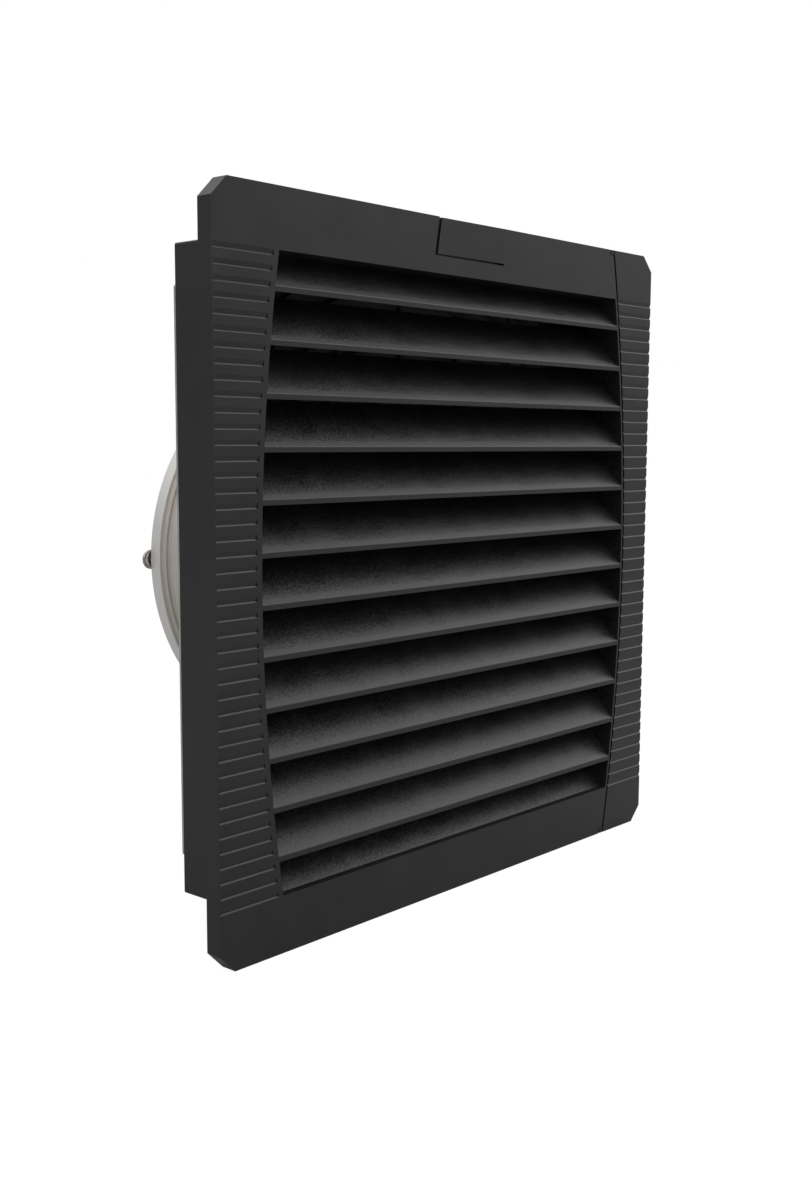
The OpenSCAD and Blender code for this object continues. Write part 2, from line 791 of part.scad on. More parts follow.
module plate_screws() {
    color([0.72, 0.72, 0.74]) at_plate_screws() rear_screw(plate_back_y, plate_t + plate_screw_l - free_gap);
}

module fan_seal() {
    color([0.1, 0.1, 0.1]) difference() {
        slab(seat_y, fan_y) difference() {
            circle(fan_r - seat_gap, $fn = 96);
            circle(bore_r, $fn = 96);
        }
        at_fan_screws(45) rod_y(screw_r + run_gap, seat_y - cut, fan_y + cut);
    }
}

// Cast ring with two flanges, struts and the disc that carries the motor
module fan_frame() {
    back = fan_back_y;
    color([0.66, 0.65, 0.63]) difference() {
        union() {
            turned() polygon([[bore_r, fan_y], [fan_r, fan_y], [fan_r, fan_y + front_flange_t],
                [barrel_r, fan_y + front_flange_t], [barrel_r, back - rear_flange_t - step_h],
                [step_r, back - rear_flange_t - step_h], [step_r, back - rear_flange_t],
                [fan_r, back - rear_flange_t], [fan_r, back], [bore_r, back]]);
            for (i = [0 : strut_count - 1]) rotate([0, 45 + i * 360 / strut_count, 0])
                translate([base_r / 2, strut_y, -strut_w / 2])
                    cube([bore_r - base_r / 2 + cut, strut_d, strut_w]);
            rod_y(base_r, strut_y, strut_y + strut_d);
        }
        at_fan_screws(45) rod_y(screw_r + press_gap, fan_y - cut, fan_y + front_screw_l + seat_gap);
        at_fan_screws(0) rod_y(screw_r + press_gap, back - rear_screw_l - seat_gap, back + cut);
        rod_y(bearing_tube_r, strut_y - cut, strut_y + strut_d / 2);
    }
}

// Screws from the front of the plate into the fan's front flange
module fan_screws() {
    color([0.72, 0.72, 0.74]) at_fan_screws(45) {
        rod_y(screw_r, seat_y - plate_t - cut / 2, fan_y + front_screw_l);
        difference() {
            rod_y(screw_head_r, seat_y - plate_t - screw_head_t, seat_y - plate_t);
            translate([-screw_head_r, seat_y - plate_t - 1.5 * screw_head_t, -screw_slot_w / 2])
                cube([2 * screw_head_r, screw_head_t, screw_slot_w]);
        }
    }
}

// Motor base with the tube that holds both bearings
module motor_base() {
    color([0.6, 0.6, 0.61]) turned() polygon([[base_r, base_y], [base_r, strut_y],
        [bearing_r, strut_y], [bearing_r, tube_front_y], [bearing_tube_r, tube_front_y],
        [bearing_tube_r, base_y]]);
}

module stator_core() {
    color([0.35, 0.36, 0.38]) turned() translate([bearing_tube_r, stator_y])
        square([stator_r - bearing_tube_r, stator_d]);
}

// The coils' two end turns, as rounded rings on the core
module stator_windings() {
    w = winding_r - bearing_tube_r - winding_d;
    color([0.72, 0.4, 0.2]) for (y = [stator_y - winding_d / 2, stator_y + stator_d + winding_d / 2])
        turned() translate([bearing_tube_r + winding_d / 2 + w / 2, y])
            round_rect(w + winding_d / 2, winding_d, winding_d / 3);
}

module bearing_at(y) {
    color([0.75, 0.76, 0.78]) turned() translate([shaft_r + run_gap, y])
        square([bearing_r - shaft_r - run_gap, bearing_t]);
}

module front_bearing() { bearing_at(tube_front_y); }
module rear_bearing() { bearing_at(strut_y - bearing_t); }

// Wire rings on radial wires, with four loops for the screws
module finger_guard() {
    weld = 1.6;
    color([0.3, 0.3, 0.31]) {
        for (i = [0 : guard_rings - 1]) translate([0, guard_y + weld * wire_r, 0]) turned()
            translate([guard_first_r + i * guard_step, 0]) circle(wire_r, $fn = 16);
        for (a = [0 : 90 : 270]) rotate([0, a, 0]) {
            loop_in = guard_first_r - wire_r;
            for (z = [-1, 1]) translate([loop_in, guard_y, z * loop_bend_r])
                rotate([0, 90, 0]) cylinder(r = wire_r, h = loop_reach - loop_w / 2 - loop_in, $fn = 16);
            translate([loop_reach - loop_w / 2, guard_y, 0]) rotate([90, 0, 0])
                rotate([0, 0, -90]) rotate_extrude(angle = 180, $fn = 32)
                    translate([loop_bend_r, 0]) circle(wire_r, $fn = 16);
        }
    }
}

// Screws with washers that clamp the guard's loops
module guard_screws() {
    seat = guard_y + wire_r;
    color([0.72, 0.72, 0.74]) at_fan_screws(0) {
        rod_y(screw_r, fan_back_y - rear_screw_l, seat + cut / 2);
        rod_y(washer_r, seat, seat + washer_t);
        translate([0, washer_t, 0]) difference() {
            rod_y(screw_head_r, seat - cut / 2, seat + screw_head_t);
            translate([-screw_head_r, seat + screw_head_t / 2, -screw_slot_w / 2])
                cube([2 * screw_head_r, screw_head_t, screw_slot_w]);
        }
    }
}

// Open box for the wiring, with ears for the lid and a round cable entry below
module terminal_box() {
    color([0.13, 0.13, 0.135]) difference() {
        union() {
            translate([box_x, 0, -box_drop]) slab(box_y, box_back_y)
                round_rect(box_w, box_h, box_wall);
            for (x = [-1, 1]) translate([box_x + x * (lid_barrel_w / 2 + lid_ear_w / 2 + free_gap)
                - lid_ear_w / 2, 0, 0]) {
                translate([0, lid_axis_y, lid_axis_z]) rotate([0, 90, 0])
                    cylinder(r = lid_barrel_r, h = lid_ear_w);
                translate([0, lid_axis_y - 3 * lid_barrel_r, box_top_z - box_wall / 2])
                    cube([lid_ear_w, 3 * lid_barrel_r - lid_t / 2 - seat_gap,
                        lid_axis_z - box_top_z + box_wall / 2]);
                translate([0, lid_axis_y - 3 * lid_barrel_r, lid_axis_z - lid_barrel_r])
                    cube([lid_ear_w, 3 * lid_barrel_r, 2 * lid_barrel_r]);
            }
        }
        translate([box_x, 0, -box_drop]) slab(box_y + box_wall, box_back_y + cut)
            square([box_w - 2 * box_wall, box_h - 2 * box_wall], center = true);
        translate([box_x, box_y + box_d / 2, box_bottom_z - cut])
            cylinder(r = entry_r, h = box_wall + 2 * cut);
        translate([box_x - box_w / 2, lid_axis_y, lid_axis_z]) rotate([0, 90, 0])
            cylinder(r = lid_pin_r + press_gap, h = box_w);
    }
}

module lid_pin() {
    l = lid_barrel_w + 2 * lid_ear_w + 2 * free_gap;
    color([0.7, 0.7, 0.72]) translate([box_x - l / 2, lid_axis_y, lid_axis_z])
        rotate([0, 90, 0]) cylinder(r = lid_pin_r, h = l);
}

module terminal_lid() {
    inside_w = box_w - 2 * box_wall - 2 * seat_gap;
    inside_h = box_h - 2 * box_wall - 2 * seat_gap;
    color([0.14, 0.14, 0.145]) difference() {
        union() {
            translate([box_x, 0, -box_drop]) {
                slab(lid_y, lid_y + lid_t) round_rect(box_w, box_h, box_wall);
                slab(lid_y - lid_lip_d, lid_y + cut / 2) difference() {
                    square([inside_w, inside_h], center = true);
                    square([inside_w - 2 * lid_lip_t, inside_h - 2 * lid_lip_t], center = true);
                }
            }
            translate([box_x - lid_barrel_w / 2, lid_axis_y, lid_axis_z]) rotate([0, 90, 0])
                cylinder(r = lid_barrel_r, h = lid_barrel_w);
            translate([box_x - lid_barrel_w / 2, lid_y, box_top_z - box_wall])
                cube([lid_barrel_w, lid_t, lid_axis_z - box_top_z + box_wall]);
        }
        translate([box_x - box_w / 2, lid_axis_y, lid_axis_z]) rotate([0, 90, 0])
            cylinder(r = lid_pin_r + run_gap, h = box_w);
    }
}

// Places of the terminal block's poles
module at_poles() {
    for (i = [0 : pole_count - 1])
        translate([box_x + (i - (pole_count - 1) / 2) * pole_pitch, 0, block_z]) children();
}

// Block with a screw well and a wire hole for each pole
module terminal_block() {
    w = pole_count * pole_pitch + 2 * block_end;
    front = box_y + box_wall;
    color([0.85, 0.84, 0.8]) difference() {
        translate([box_x - w / 2, front, block_z - block_h / 2]) cube([w, block_d, block_h]);
        at_poles() {
            rod_y(pole_well_r, front + block_d / 3, front + block_d + cut);
            translate([0, front + block_d / 3, -block_h / 2 - cut])
                cylinder(r = pole_wire_r, h = block_h / 2);
        }
    }
}

module terminal_screws() {
    front = box_y + box_wall;
    color([0.78, 0.72, 0.5]) at_poles() difference() {
        rod_y(pole_screw_r, front + block_d / 3, front + block_d - screw_slot_w);
        translate([-pole_screw_r, front + block_d - 2.5 * screw_slot_w, -screw_slot_w / 2])
            cube([2 * pole_screw_r, 3 * screw_slot_w, screw_slot_w]);
    }
}

// Steel cup that turns round the stator
module rotor_cup() {
    color([0.12, 0.12, 0.13]) turned() polygon([[shaft_r, rotor_front_y],
        [rotor_r - rotor_wall, rotor_front_y], [rotor_r, rotor_front_y + rotor_wall],
        [rotor_r, rotor_back_y], [rotor_r - rotor_wall, rotor_back_y],
        [rotor_r - rotor_wall, rotor_front_y + rotor_wall],
        [rotor_boss_r, rotor_front_y + rotor_wall],
        [rotor_boss_r, rotor_front_y + rotor_wall + rotor_boss_d],
        [shaft_r, rotor_front_y + rotor_wall + rotor_boss_d]]);
}

module rotor_cage() {
    color([0.5, 0.5, 0.52]) turned() translate([rotor_r - rotor_wall - cage_t, stator_y - cut])
        square([cage_t, stator_d + 2 * cut]);
}

// A blade's mid line at a radius: place of a point along the chord, as angle and depth
function blade_pitch(s) = 52 - 24 * s;
function blade_chord(s) = impeller_d * (1.0 + 0.18 * s);
function blade_sweep(s) = 26 * s * s;
function blade_point(s, u, side) =
    let (r = rotor_r + impeller_ring_t / 2 + s * (blade_tip_r - rotor_r - impeller_ring_t / 2),
        c = blade_chord(s), a = blade_pitch(s),
        bulge = 0.09 * c * (1 - pow(2 * u - 1, 2)) + side * blade_t / 2 * (0.35 + 2.6 * u * (1 - u)),
        run = (u - 0.5) * c,
        turn = (run * cos(a) - bulge * sin(a)) / r * 180 / PI + blade_sweep(s),
        y = run * sin(a) + bulge * cos(a))
    [r * cos(turn), y, r * sin(turn)];

// A twisted and swept blade as a closed skin over a grid of stations and chord points
module blade() {
    stations = 6;
    steps = 8;
    row = 2 * (steps + 1);
    points = [for (i = [0 : stations], side = [1, -1], j = [0 : steps])
        blade_point(i / stations, (side > 0 ? j : steps - j) / steps, side)];
    walls = [for (i = [0 : stations - 1], j = [0 : row - 1])
        let (k = (j + 1) % row)
        each [[i * row + j, (i + 1) * row + j, (i + 1) * row + k],
            [i * row + j, (i + 1) * row + k, i * row + k]]];
    caps = [for (j = [1 : row - 2]) each [[0, j, j + 1],
        [stations * row, stations * row + j + 1, stations * row + j]]];
    translate([0, impeller_y + impeller_d / 2 - blade_shift, 0]) polyhedron(points, concat(walls, caps));
}

module impeller() {
    color([0.1, 0.1, 0.105]) {
        turned() translate([rotor_r, impeller_y]) square([impeller_ring_t, impeller_d]);
        for (i = [0 : blade_count - 1]) rotate([0, i * 360 / blade_count, 0]) blade();
    }
}

module rotor_shaft() {
    groove = shaft_r - shaft_groove_d;
    color([0.8, 0.8, 0.82]) turned() polygon([[0, rotor_front_y - shaft_out],
        [shaft_r, rotor_front_y - shaft_out],
        [shaft_r, strut_y + clip_ring_t / 2], [groove, strut_y + clip_ring_t / 2],
        [groove, strut_y + 3 * clip_ring_t / 2], [shaft_r, strut_y + 3 * clip_ring_t / 2],
        [shaft_r, strut_y + strut_d / 2 - free_gap], [0, strut_y + strut_d / 2 - free_gap]]);
}

module shaft_clip() {
    groove = shaft_r - shaft_groove_d;
    color([0.55, 0.55, 0.57]) turned() translate([groove, strut_y + clip_ring_t / 2])
        square([clip_ring_r - groove, clip_ring_t]);
}

mounting_frame();
panel_gasket();
hinge_pins();
ring_grid();
filter_mat();
clip_pins();
fan_plate();
plate_screws();
fan_seal();
fan_frame();
fan_screws();
motor_base();
stator_core();
stator_windings();
front_bearing();
rear_bearing();
finger_guard();
guard_screws();
terminal_box();
terminal_block();
terminal_screws();
lid_pin();
terminal_lid();
front_cover();
louvre();
rotor_cup();
rotor_cage();
impeller();
rotor_shaft();
shaft_clip();
clip_top_left();
clip_top_right();
clip_bottom_left();
clip_bottom_right();
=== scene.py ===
"""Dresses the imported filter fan: moulded ABS, cast fan, pressed plate, guard wire, foam and fleece."""

import json
import math

import bmesh
import bpy
import numpy as np
from mathutils import Matrix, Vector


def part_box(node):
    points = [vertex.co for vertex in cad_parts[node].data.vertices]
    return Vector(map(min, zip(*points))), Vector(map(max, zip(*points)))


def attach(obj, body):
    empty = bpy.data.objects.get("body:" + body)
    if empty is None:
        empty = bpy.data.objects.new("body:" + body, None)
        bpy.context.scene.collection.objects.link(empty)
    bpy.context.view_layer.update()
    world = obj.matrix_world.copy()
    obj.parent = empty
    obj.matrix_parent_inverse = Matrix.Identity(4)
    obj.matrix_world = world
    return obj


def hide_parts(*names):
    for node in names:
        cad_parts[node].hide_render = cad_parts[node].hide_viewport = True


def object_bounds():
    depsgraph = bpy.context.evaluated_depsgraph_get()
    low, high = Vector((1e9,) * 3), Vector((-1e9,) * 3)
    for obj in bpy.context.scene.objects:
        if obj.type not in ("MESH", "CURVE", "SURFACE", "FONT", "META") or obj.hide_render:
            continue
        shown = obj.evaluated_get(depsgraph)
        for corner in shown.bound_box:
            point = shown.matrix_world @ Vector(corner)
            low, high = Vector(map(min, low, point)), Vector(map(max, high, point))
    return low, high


bl_info = {
    "name": "Enclosure filter fan",
    "version": (1, 0, 0),
    "blender": (4, 5, 0),
    "location": "View3D > Sidebar > Filter fan",
    "description": "Builds a filter fan's soft, cast, pressed and wire pieces and gives all its finishes",
    "category": "Object",
}

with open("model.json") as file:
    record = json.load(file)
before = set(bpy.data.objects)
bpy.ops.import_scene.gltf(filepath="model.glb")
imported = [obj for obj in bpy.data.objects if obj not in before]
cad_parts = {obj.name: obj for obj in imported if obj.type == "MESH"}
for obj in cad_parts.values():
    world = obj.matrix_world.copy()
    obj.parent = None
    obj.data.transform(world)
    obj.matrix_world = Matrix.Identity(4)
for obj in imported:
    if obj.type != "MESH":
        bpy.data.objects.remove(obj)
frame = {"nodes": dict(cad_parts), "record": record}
LOW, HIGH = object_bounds()
MM = 0.001
QUARTER = math.pi / 2

# Radii of the fan: flanges, bore and screw circle
FAN_R = 74.75 * MM
BORE_R = 68.5 * MM
SCREW_PITCH_R = 71.6 * MM


# Sizes and colours


class FanSizes(bpy.types.PropertyGroup):
    """Sizes of the pieces that are made here, on the places that the CAD nodes give."""

    foam_crown: bpy.props.FloatProperty(
        name="Foam crown", description="How far the edges of gasket and seal are rounded off",
        default=0.45 * MM, min=0.1 * MM, max=0.5 * MM, unit="LENGTH", precision=5)
    fleece_relief: bpy.props.FloatProperty(
        name="Fleece relief", description="Height of the filter mat's uneven surface",
        default=0.12 * MM, min=0.0, max=0.3 * MM, unit="LENGTH", precision=5)
    casting_fillet: bpy.props.FloatProperty(
        name="Casting fillet", description="Radius on the edges of the cast fan frame",
        default=0.5 * MM, min=0.1 * MM, max=0.8 * MM, unit="LENGTH", precision=5)
    draw_radius: bpy.props.FloatProperty(
        name="Draw radius", description="Radius of the pressed bends of the plate",
        default=1.0 * MM, min=0.3 * MM, max=1.5 * MM, unit="LENGTH", precision=5)
    blade_thickness: bpy.props.FloatProperty(
        name="Blade thickness", description="Greatest thickness of an impeller blade",
        default=1.8 * MM, min=1.0 * MM, max=2.4 * MM, unit="LENGTH", precision=5)
    wire_radius: bpy.props.FloatProperty(
        name="Guard wire radius", description="Radius of the finger guard's wire",
        default=0.65 * MM, min=0.5 * MM, max=1.0 * MM, unit="LENGTH", precision=5)
    moulded_edge: bpy.props.FloatProperty(
        name="Moulded edge", description="Radius on the edges of the terminal box and its lid",
        default=0.4 * MM, min=0.1 * MM, max=0.6 * MM, unit="LENGTH", precision=5)


class FanColours(bpy.types.PropertyGroup):
    """Colours of the finishes, as sRGB."""

    plastic: bpy.props.StringProperty(
        name="ABS", description="Black of the moulded face and frame", default="#161617")
    casting: bpy.props.StringProperty(
        name="Casting", description="Grey of the die-cast fan frame", default="#e4e2df")
    zinc: bpy.props.StringProperty(
        name="Zinc", description="Grey of the zinc-coated plate", default="#c2c0ba")
    backdrop: bpy.props.StringProperty(
        name="Backdrop", description="White of floor and background", default="#ffffff")


def sizes():
    return bpy.context.scene.fan_sizes


def colours():
    return bpy.context.scene.fan_colours


# Meshes


def put_mesh(name, grids, body, slot, sharp=35.0):
    """Makes one piece from surfaces given as (points[i, j, 3], closed in i, closed in j).

    Neighbouring points of a grid join into quads. Each surface is turned so that its signed volume is
    positive, which makes its faces point outwards."""
    verts, quads, base = [], [], 0
    for grid, wrap_i, wrap_j in grids:
        n, m = grid.shape[:2]
        i = np.arange(n if wrap_i else n - 1)
        j = np.arange(m if wrap_j else m - 1)
        a, b = np.meshgrid(i, j, indexing="ij")
        c, d = (a + 1) % n, (b + 1) % m
        q = np.stack([a * m + b, c * m + b, c * m + d, a * m + d], -1).reshape(-1, 4)
        p = grid.reshape(-1, 3)
        t = np.concatenate([q[:, [0, 1, 2]], q[:, [0, 2, 3]]])
        volume = np.einsum("ij,ij->i", p[t[:, 0]], np.cross(p[t[:, 1]], p[t[:, 2]])).sum()
        quads.append((q[:, ::-1] if volume < 0 else q) + base)
        verts.append(p)
        base += len(p)
    verts, quads = np.concatenate(verts), np.concatenate(quads)
    mesh = bpy.data.meshes.new(name)
    mesh.vertices.add(len(verts))
    mesh.vertices.foreach_set("co", verts.astype(np.float32).ravel())
    mesh.loops.add(quads.size)
    mesh.loops.foreach_set("vertex_index", quads.astype(np.int32).ravel())
    mesh.polygons.add(len(quads))
    mesh.polygons.foreach_set("loop_start", np.arange(0, quads.size, 4, dtype=np.int32))
    mesh.update(calc_edges=True)
    mesh.validate()
    return place(name, mesh, body, slot, sharp)


def place(name, mesh, body, slot, sharp):
    """Shades a finished mesh smooth up to an angle, and puts it on its body with its slot and its finish."""
    mesh.polygons.foreach_set("use_smooth", np.ones(len(mesh.polygons), bool))
    mesh.set_sharp_from_angle(angle=math.radians(sharp))
    mesh.materials.clear()
    mesh.materials.append(finish_of(slot))
    piece = bpy.data.objects.new(name, mesh)
    bpy.context.scene.collection.objects.link(piece)
    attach(piece, body)
    return piece


def rounded(points, radius, steps=4):
    """A closed profile whose corners are replaced by arcs. A corner's two tangent points lie radius /
    tan(half its angle) along its sides, and a quadratic curve joins them, drawn towards the corner."""
    p = np.asarray(points, float)
    before, after = np.roll(p, 1, 0) - p, np.roll(p, -1, 0) - p
    lb, la = np.linalg.norm(before, axis=1), np.linalg.norm(after, axis=1)
    ub, ua = before / lb[:, None], after / la[:, None]
    half = np.arccos(np.clip((ub * ua).sum(1), -1, 1)) / 2
    # an arc takes at most this share of a side, so that two arcs never meet
    share = 0.45
    back = np.minimum(radius / np.maximum(np.tan(half), 1e-6), share * np.minimum(lb, la))[:, None]
    s, e = p + ub * back, p + ua * back
    t = np.linspace(0, 1, steps)[None, :, None]
    arc = (1 - t) ** 2 * s[:, None] + 2 * t * (1 - t) * p[:, None] + t**2 * e[:, None]
    return arc.reshape(-1, 2)


def foam_section(inner, outer, front, back):
    """The section of a flat foam strip: a rectangle with its corners rounded by the crown, but by no more
    than 45% of its thickness."""
    crown = min(sizes().foam_crown, 0.45 * (back - front))
    return rounded([(outer, front), (outer, back), (inner, back), (inner, front)], crown)


def around(count):
    """Directions round a circle in even steps."""
    return np.linspace(0, 2 * np.pi, count, endpoint=False)


def polar(a, r, y):
    """Points (r cos a, y, r sin a): at radius r and depth y, in direction a about the fan axis."""
    return np.stack(np.broadcast_arrays(r * np.cos(a), y, r * np.sin(a)), -1)


def lathe(profile, turns):
    """A surface of revolution about the fan axis, from a profile of radii and depths."""
    r, y = np.asarray(profile, float).T
    return polar(around(turns)[:, None], r, y)


def box_lengths(a, half, corner):
    """Distance from the middle to a square with round corners, in each direction a: to the nearer of its
    straight sides, or where that point would lie past a side's end, to that corner's circle."""
    c, s = np.abs(np.cos(a)), np.abs(np.sin(a))
    flat = np.minimum(half / np.maximum(c, 1e-9), half / np.maximum(s, 1e-9))
    straight = half - corner
    along = c * straight + s * straight
    root = np.sqrt(np.maximum(along**2 - (straight**2 + straight**2 - corner**2), 0))
    past = (flat * c > straight) & (flat * s > straight)
    return np.where(past, along + root, flat)


def square_angles():
    """Directions for loops that run round a square: even steps, closer together about the four corners."""
    quarter = np.concatenate([
        np.linspace(-45, -36, 12, endpoint=False),
        np.linspace(-36, 36, 36, endpoint=False),
        np.linspace(36, 45, 12, endpoint=False)])
    return np.radians(np.concatenate([quarter + turn for turn in (0, 90, 180, 270)]))


def turned(k, count):
    """The rotation about the fan axis by k of count equal steps, from x towards z."""
    c, s = math.cos(k * 2 * math.pi / count), math.sin(k * 2 * math.pi / count)
    return np.array([[c, 0, -s], [0, 1, 0], [s, 0, c]])


def tube(path, radius, closed=False):
    """A round wire along a path in a plane square to the fan axis: at each point a circle spanned by that
    axis and by the direction square to the path. An open wire's ends shrink along a quarter circle."""
    sides, tip_steps = 12, 4
    axis = np.array([0.0, 1.0, 0.0])
    p = np.asarray(path, float)
    if closed:
        t = np.roll(p, -1, 0) - np.roll(p, 1, 0)
        r = np.full(len(p), radius)
    else:
        t = np.gradient(p, axis=0)
        q = np.linspace(0, QUARTER, tip_steps + 1)[:-1]
        first, last = t[0] / np.linalg.norm(t[0]), t[-1] / np.linalg.norm(t[-1])
        out = radius * np.cos(q)[:, None]
        p = np.concatenate([p[0] - first * out, p, p[-1] + last * out[::-1]])
        t = np.concatenate([np.repeat(first[None], tip_steps, 0), t, np.repeat(last[None], tip_steps, 0)])
        r = np.concatenate([radius * np.sin(q), np.full(len(path), radius), radius * np.sin(q)[::-1]])
    side = np.cross(t, axis)
    side /= np.linalg.norm(side, axis=1)[:, None]
    a = around(sides)
    circle = np.cos(a)[None, :, None] * side[:, None] + np.sin(a)[None, :, None] * axis
    return p[:, None] + r[:, None, None] * circle


def ripple(x, z, seed):
    """An uneven surface between about -1 and 1: the sum of sine waves in seeded directions and lengths."""
    waves, short, long = 24, 3.0 * MM, 22.0 * MM
    rng = np.random.default_rng(seed)
    ways = rng.uniform(0, np.pi, waves)
    lengths = rng.uniform(short, long, waves)
    phases = rng.uniform(0, 2 * np.pi, waves)
    total = np.zeros_like(x)
    for way, length, phase in zip(ways, lengths, phases):
        total += np.sin(2 * np.pi * (x * np.cos(way) + z * np.sin(way)) / length + phase)
    # a sum of that many waves rarely passes 1.6 times the root of their number
    return total / (waves**0.5 * 1.6)


# Materials


def linear(code):
    """An sRGB hex colour as the linear RGBA that the nodes take."""
    c = np.array([int(code[i : i + 2], 16) for i in (1, 3, 5)]) / 255
    c = np.where(c <= 0.04045, c / 12.92, ((c + 0.055) / 1.055) ** 2.4)
    return (*map(float, c), 1.0)


def per(size_mm):
    """The pattern scale at which a texture's features are size_mm across, in Object coordinates."""
    return 1000.0 / size_mm


def lines_per(size_mm):
    """The wave texture's scale at which its lines are size_mm apart."""
    return per(size_mm) / (2 * math.pi)


def add(tree, kind, settings=None, values=None, links=None):
    """Adds a node: its settings by attribute, its socket values and its incoming links by name or index."""
    node = tree.nodes.new(kind)
    for key, value in (settings or {}).items():
        setattr(node, key, value)
    for key, value in (values or {}).items():
        node.inputs[key].default_value = value
    for key, source in (links or {}).items():
        tree.links.new(source, node.inputs[key])
    return node


def bare_tree(owner):
    """The emptied node tree of a material or world."""
    owner.use_nodes = True
    owner.node_tree.nodes.clear()
    return owner.node_tree


def blank(name, **values):
    """A material with a Principled shader whose uniform values are set on its own sockets, and the Object
    coordinates that its patterns use."""
    material = bpy.data.materials.new(name)
    tree = bare_tree(material)
    sockets = {key.replace("_", " "): value for key, value in values.items()}
    shader = add(tree, "ShaderNodeBsdfPrincipled", values=sockets)
    add(tree, "ShaderNodeOutputMaterial", links={"Surface": shader.outputs[0]})
    where = add(tree, "ShaderNodeTexCoord").outputs["Object"]
    return material, tree, shader, where


def dress(tree, shader, tone, tones, gloss=None, span=None, relief=None, strength=0.0, depth=0.0):
    """Drives a shader by patterns: colour between two tones, roughness between two values, and a relief."""
    mix = add(tree, "ShaderNodeMix", {"data_type": "RGBA"}, {"A": linear(tones[0]), "B": linear(tones[1])},
              {"Factor": tone})
    tree.links.new(mix.outputs["Result"], shader.inputs["Base Color"])
    if span:
        rough = add(tree, "ShaderNodeMapRange", values={"To Min": span[0], "To Max": span[1]},
                    links={"Value": gloss})
        tree.links.new(rough.outputs["Result"], shader.inputs["Roughness"])
    if relief:
        bump = add(tree, "ShaderNodeBump", values={"Strength": strength, "Distance": depth},
                   links={"Height": relief})
        tree.links.new(bump.outputs["Normal"], shader.inputs["Normal"])


def moulded_abs(name, grain_mm, sharpness, tones, shine, strength, depth, polished=None):
    """Black ABS from a spark-eroded mould. A sharper grain has more points at the two ends of its tones and
    of its shine, which is the share of light that a point throws back. In front of the depth called polished
    the mould is smooth, and the grain sets in over the next millimetre."""
    material, tree, shader, where = blank(name, IOR=1.46)
    wide = add(tree, "ShaderNodeTexNoise", values={"Scale": per(14), "Detail": 2.0},
               links={"Vector": where}).outputs["Fac"]
    grain = add(tree, "ShaderNodeTexNoise", values={"Scale": per(grain_mm), "Detail": 2.0, "Roughness": 0.6},
                links={"Vector": where}).outputs["Fac"]
    # the grain about its middle, with the wide, faint flow marks under it
    sharp = add(tree, "ShaderNodeMath", {"operation": "MULTIPLY_ADD"}, {1: sharpness, 2: -0.5 * sharpness},
                {0: grain}).outputs[0]
    tone = add(tree, "ShaderNodeMath", {"operation": "ADD", "use_clamp": True},
               links={0: sharp, 1: wide}).outputs[0]
    if polished is not None:
        y = add(tree, "ShaderNodeSeparateXYZ", links={"Vector": where}).outputs["Y"]
        sets_in = {"From Min": polished, "From Max": polished + 1.0 * MM}
        rough = add(tree, "ShaderNodeMapRange", values=sets_in, links={"Value": y}).outputs["Result"]
        off = add(tree, "ShaderNodeMath", {"operation": "SUBTRACT"}, {1: 0.5}, {0: tone}).outputs[0]
        tone = add(tree, "ShaderNodeMath", {"operation": "MULTIPLY_ADD"}, {2: 0.5},
                   {0: off, 1: rough}).outputs[0]
        grain = add(tree, "ShaderNodeMath", {"operation": "MULTIPLY"}, links={0: grain, 1: rough}).outputs[0]
    glint = add(tree, "ShaderNodeMapRange", values={"To Min": shine[0], "To Max": shine[1]},
                links={"Value": tone})
    tree.links.new(glint.outputs["Result"], shader.inputs["Specular IOR Level"])
    dress(tree, shader, tone, tones, tone, (0.34, 0.50), grain, strength, depth)
    return material


def smooth_abs(name, tones, shine):
    """ABS with a very fine, even grain of 0.35 mm that takes the gloss off and looks smooth from afar."""
    return moulded_abs(name, grain_mm=0.35, sharpness=1.5, tones=tones, shine=shine, strength=0.35,
                       depth=0.06 * MM)


def cover_abs():
    """The cover's visible face: near black and even, with a soft dull shine."""
    return smooth_abs("ABS, fine grain, cover", (colours().plastic, "#1e1e1f"), (0.45, 0.55))


def frame_abs():
    """The mounting frame, from the same kind of mould, so that its strip matches the cover."""
    return smooth_abs("ABS, fine grain, frame", (colours().plastic, "#1e1e1f"), (0.45, 0.55))


def grid_abs_painted_highlight():
    """The ring grid behind the slats, in a glossier grey that is painted lighter as painted highlight, so
    that its rings show as bright strokes in the gaps.
    """
    return smooth_abs("ABS, fine grain, ring grid", ("#2a2a2b", "#363637"), (0.5, 0.7))


def louvre_abs():
    """The louvre's slats, eroded coarser, so that they look speckled beside the smooth face. The real grain
    is about 0.5 mm, and it is drawn at 0.75 mm so that it shows at the photograph's distance. The slats'
    lips are polished for the first 0.9 mm."""
    return moulded_abs(
        "ABS, coarse grain, louvre", grain_mm=0.75, sharpness=4.0, tones=("#0e0e0f", "#252526"),
        shine=(0.32, 0.66), strength=0.5, depth=0.15 * MM, polished=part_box("louvre")[0][1] + 0.9 * MM)


def moulded_polyamide():
    """Black polyamide with glass fibre: duller than ABS, with fibre streaks drawn out along the flow. Real
    fibres are 0.3 mm long, and the streaks are drawn 3.4 mm long and 1.2 mm wide, so that they show."""
    material, tree, shader, where = blank("Polyamide, glass filled")
    stretch = {"Scale": (1.0, 0.35, 1.0)}
    flow = add(tree, "ShaderNodeMapping", values=stretch, links={"Vector": where}).outputs[0]
    fibre = add(tree, "ShaderNodeTexNoise", values={"Scale": per(1.2), "Detail": 4.0, "Roughness": 0.6},
                links={"Vector": flow}).outputs["Fac"]
    dress(tree, shader, fibre, ("#18181a", "#232324"), fibre, (0.5, 0.66), fibre, 0.2, 0.1 * MM)
    return material


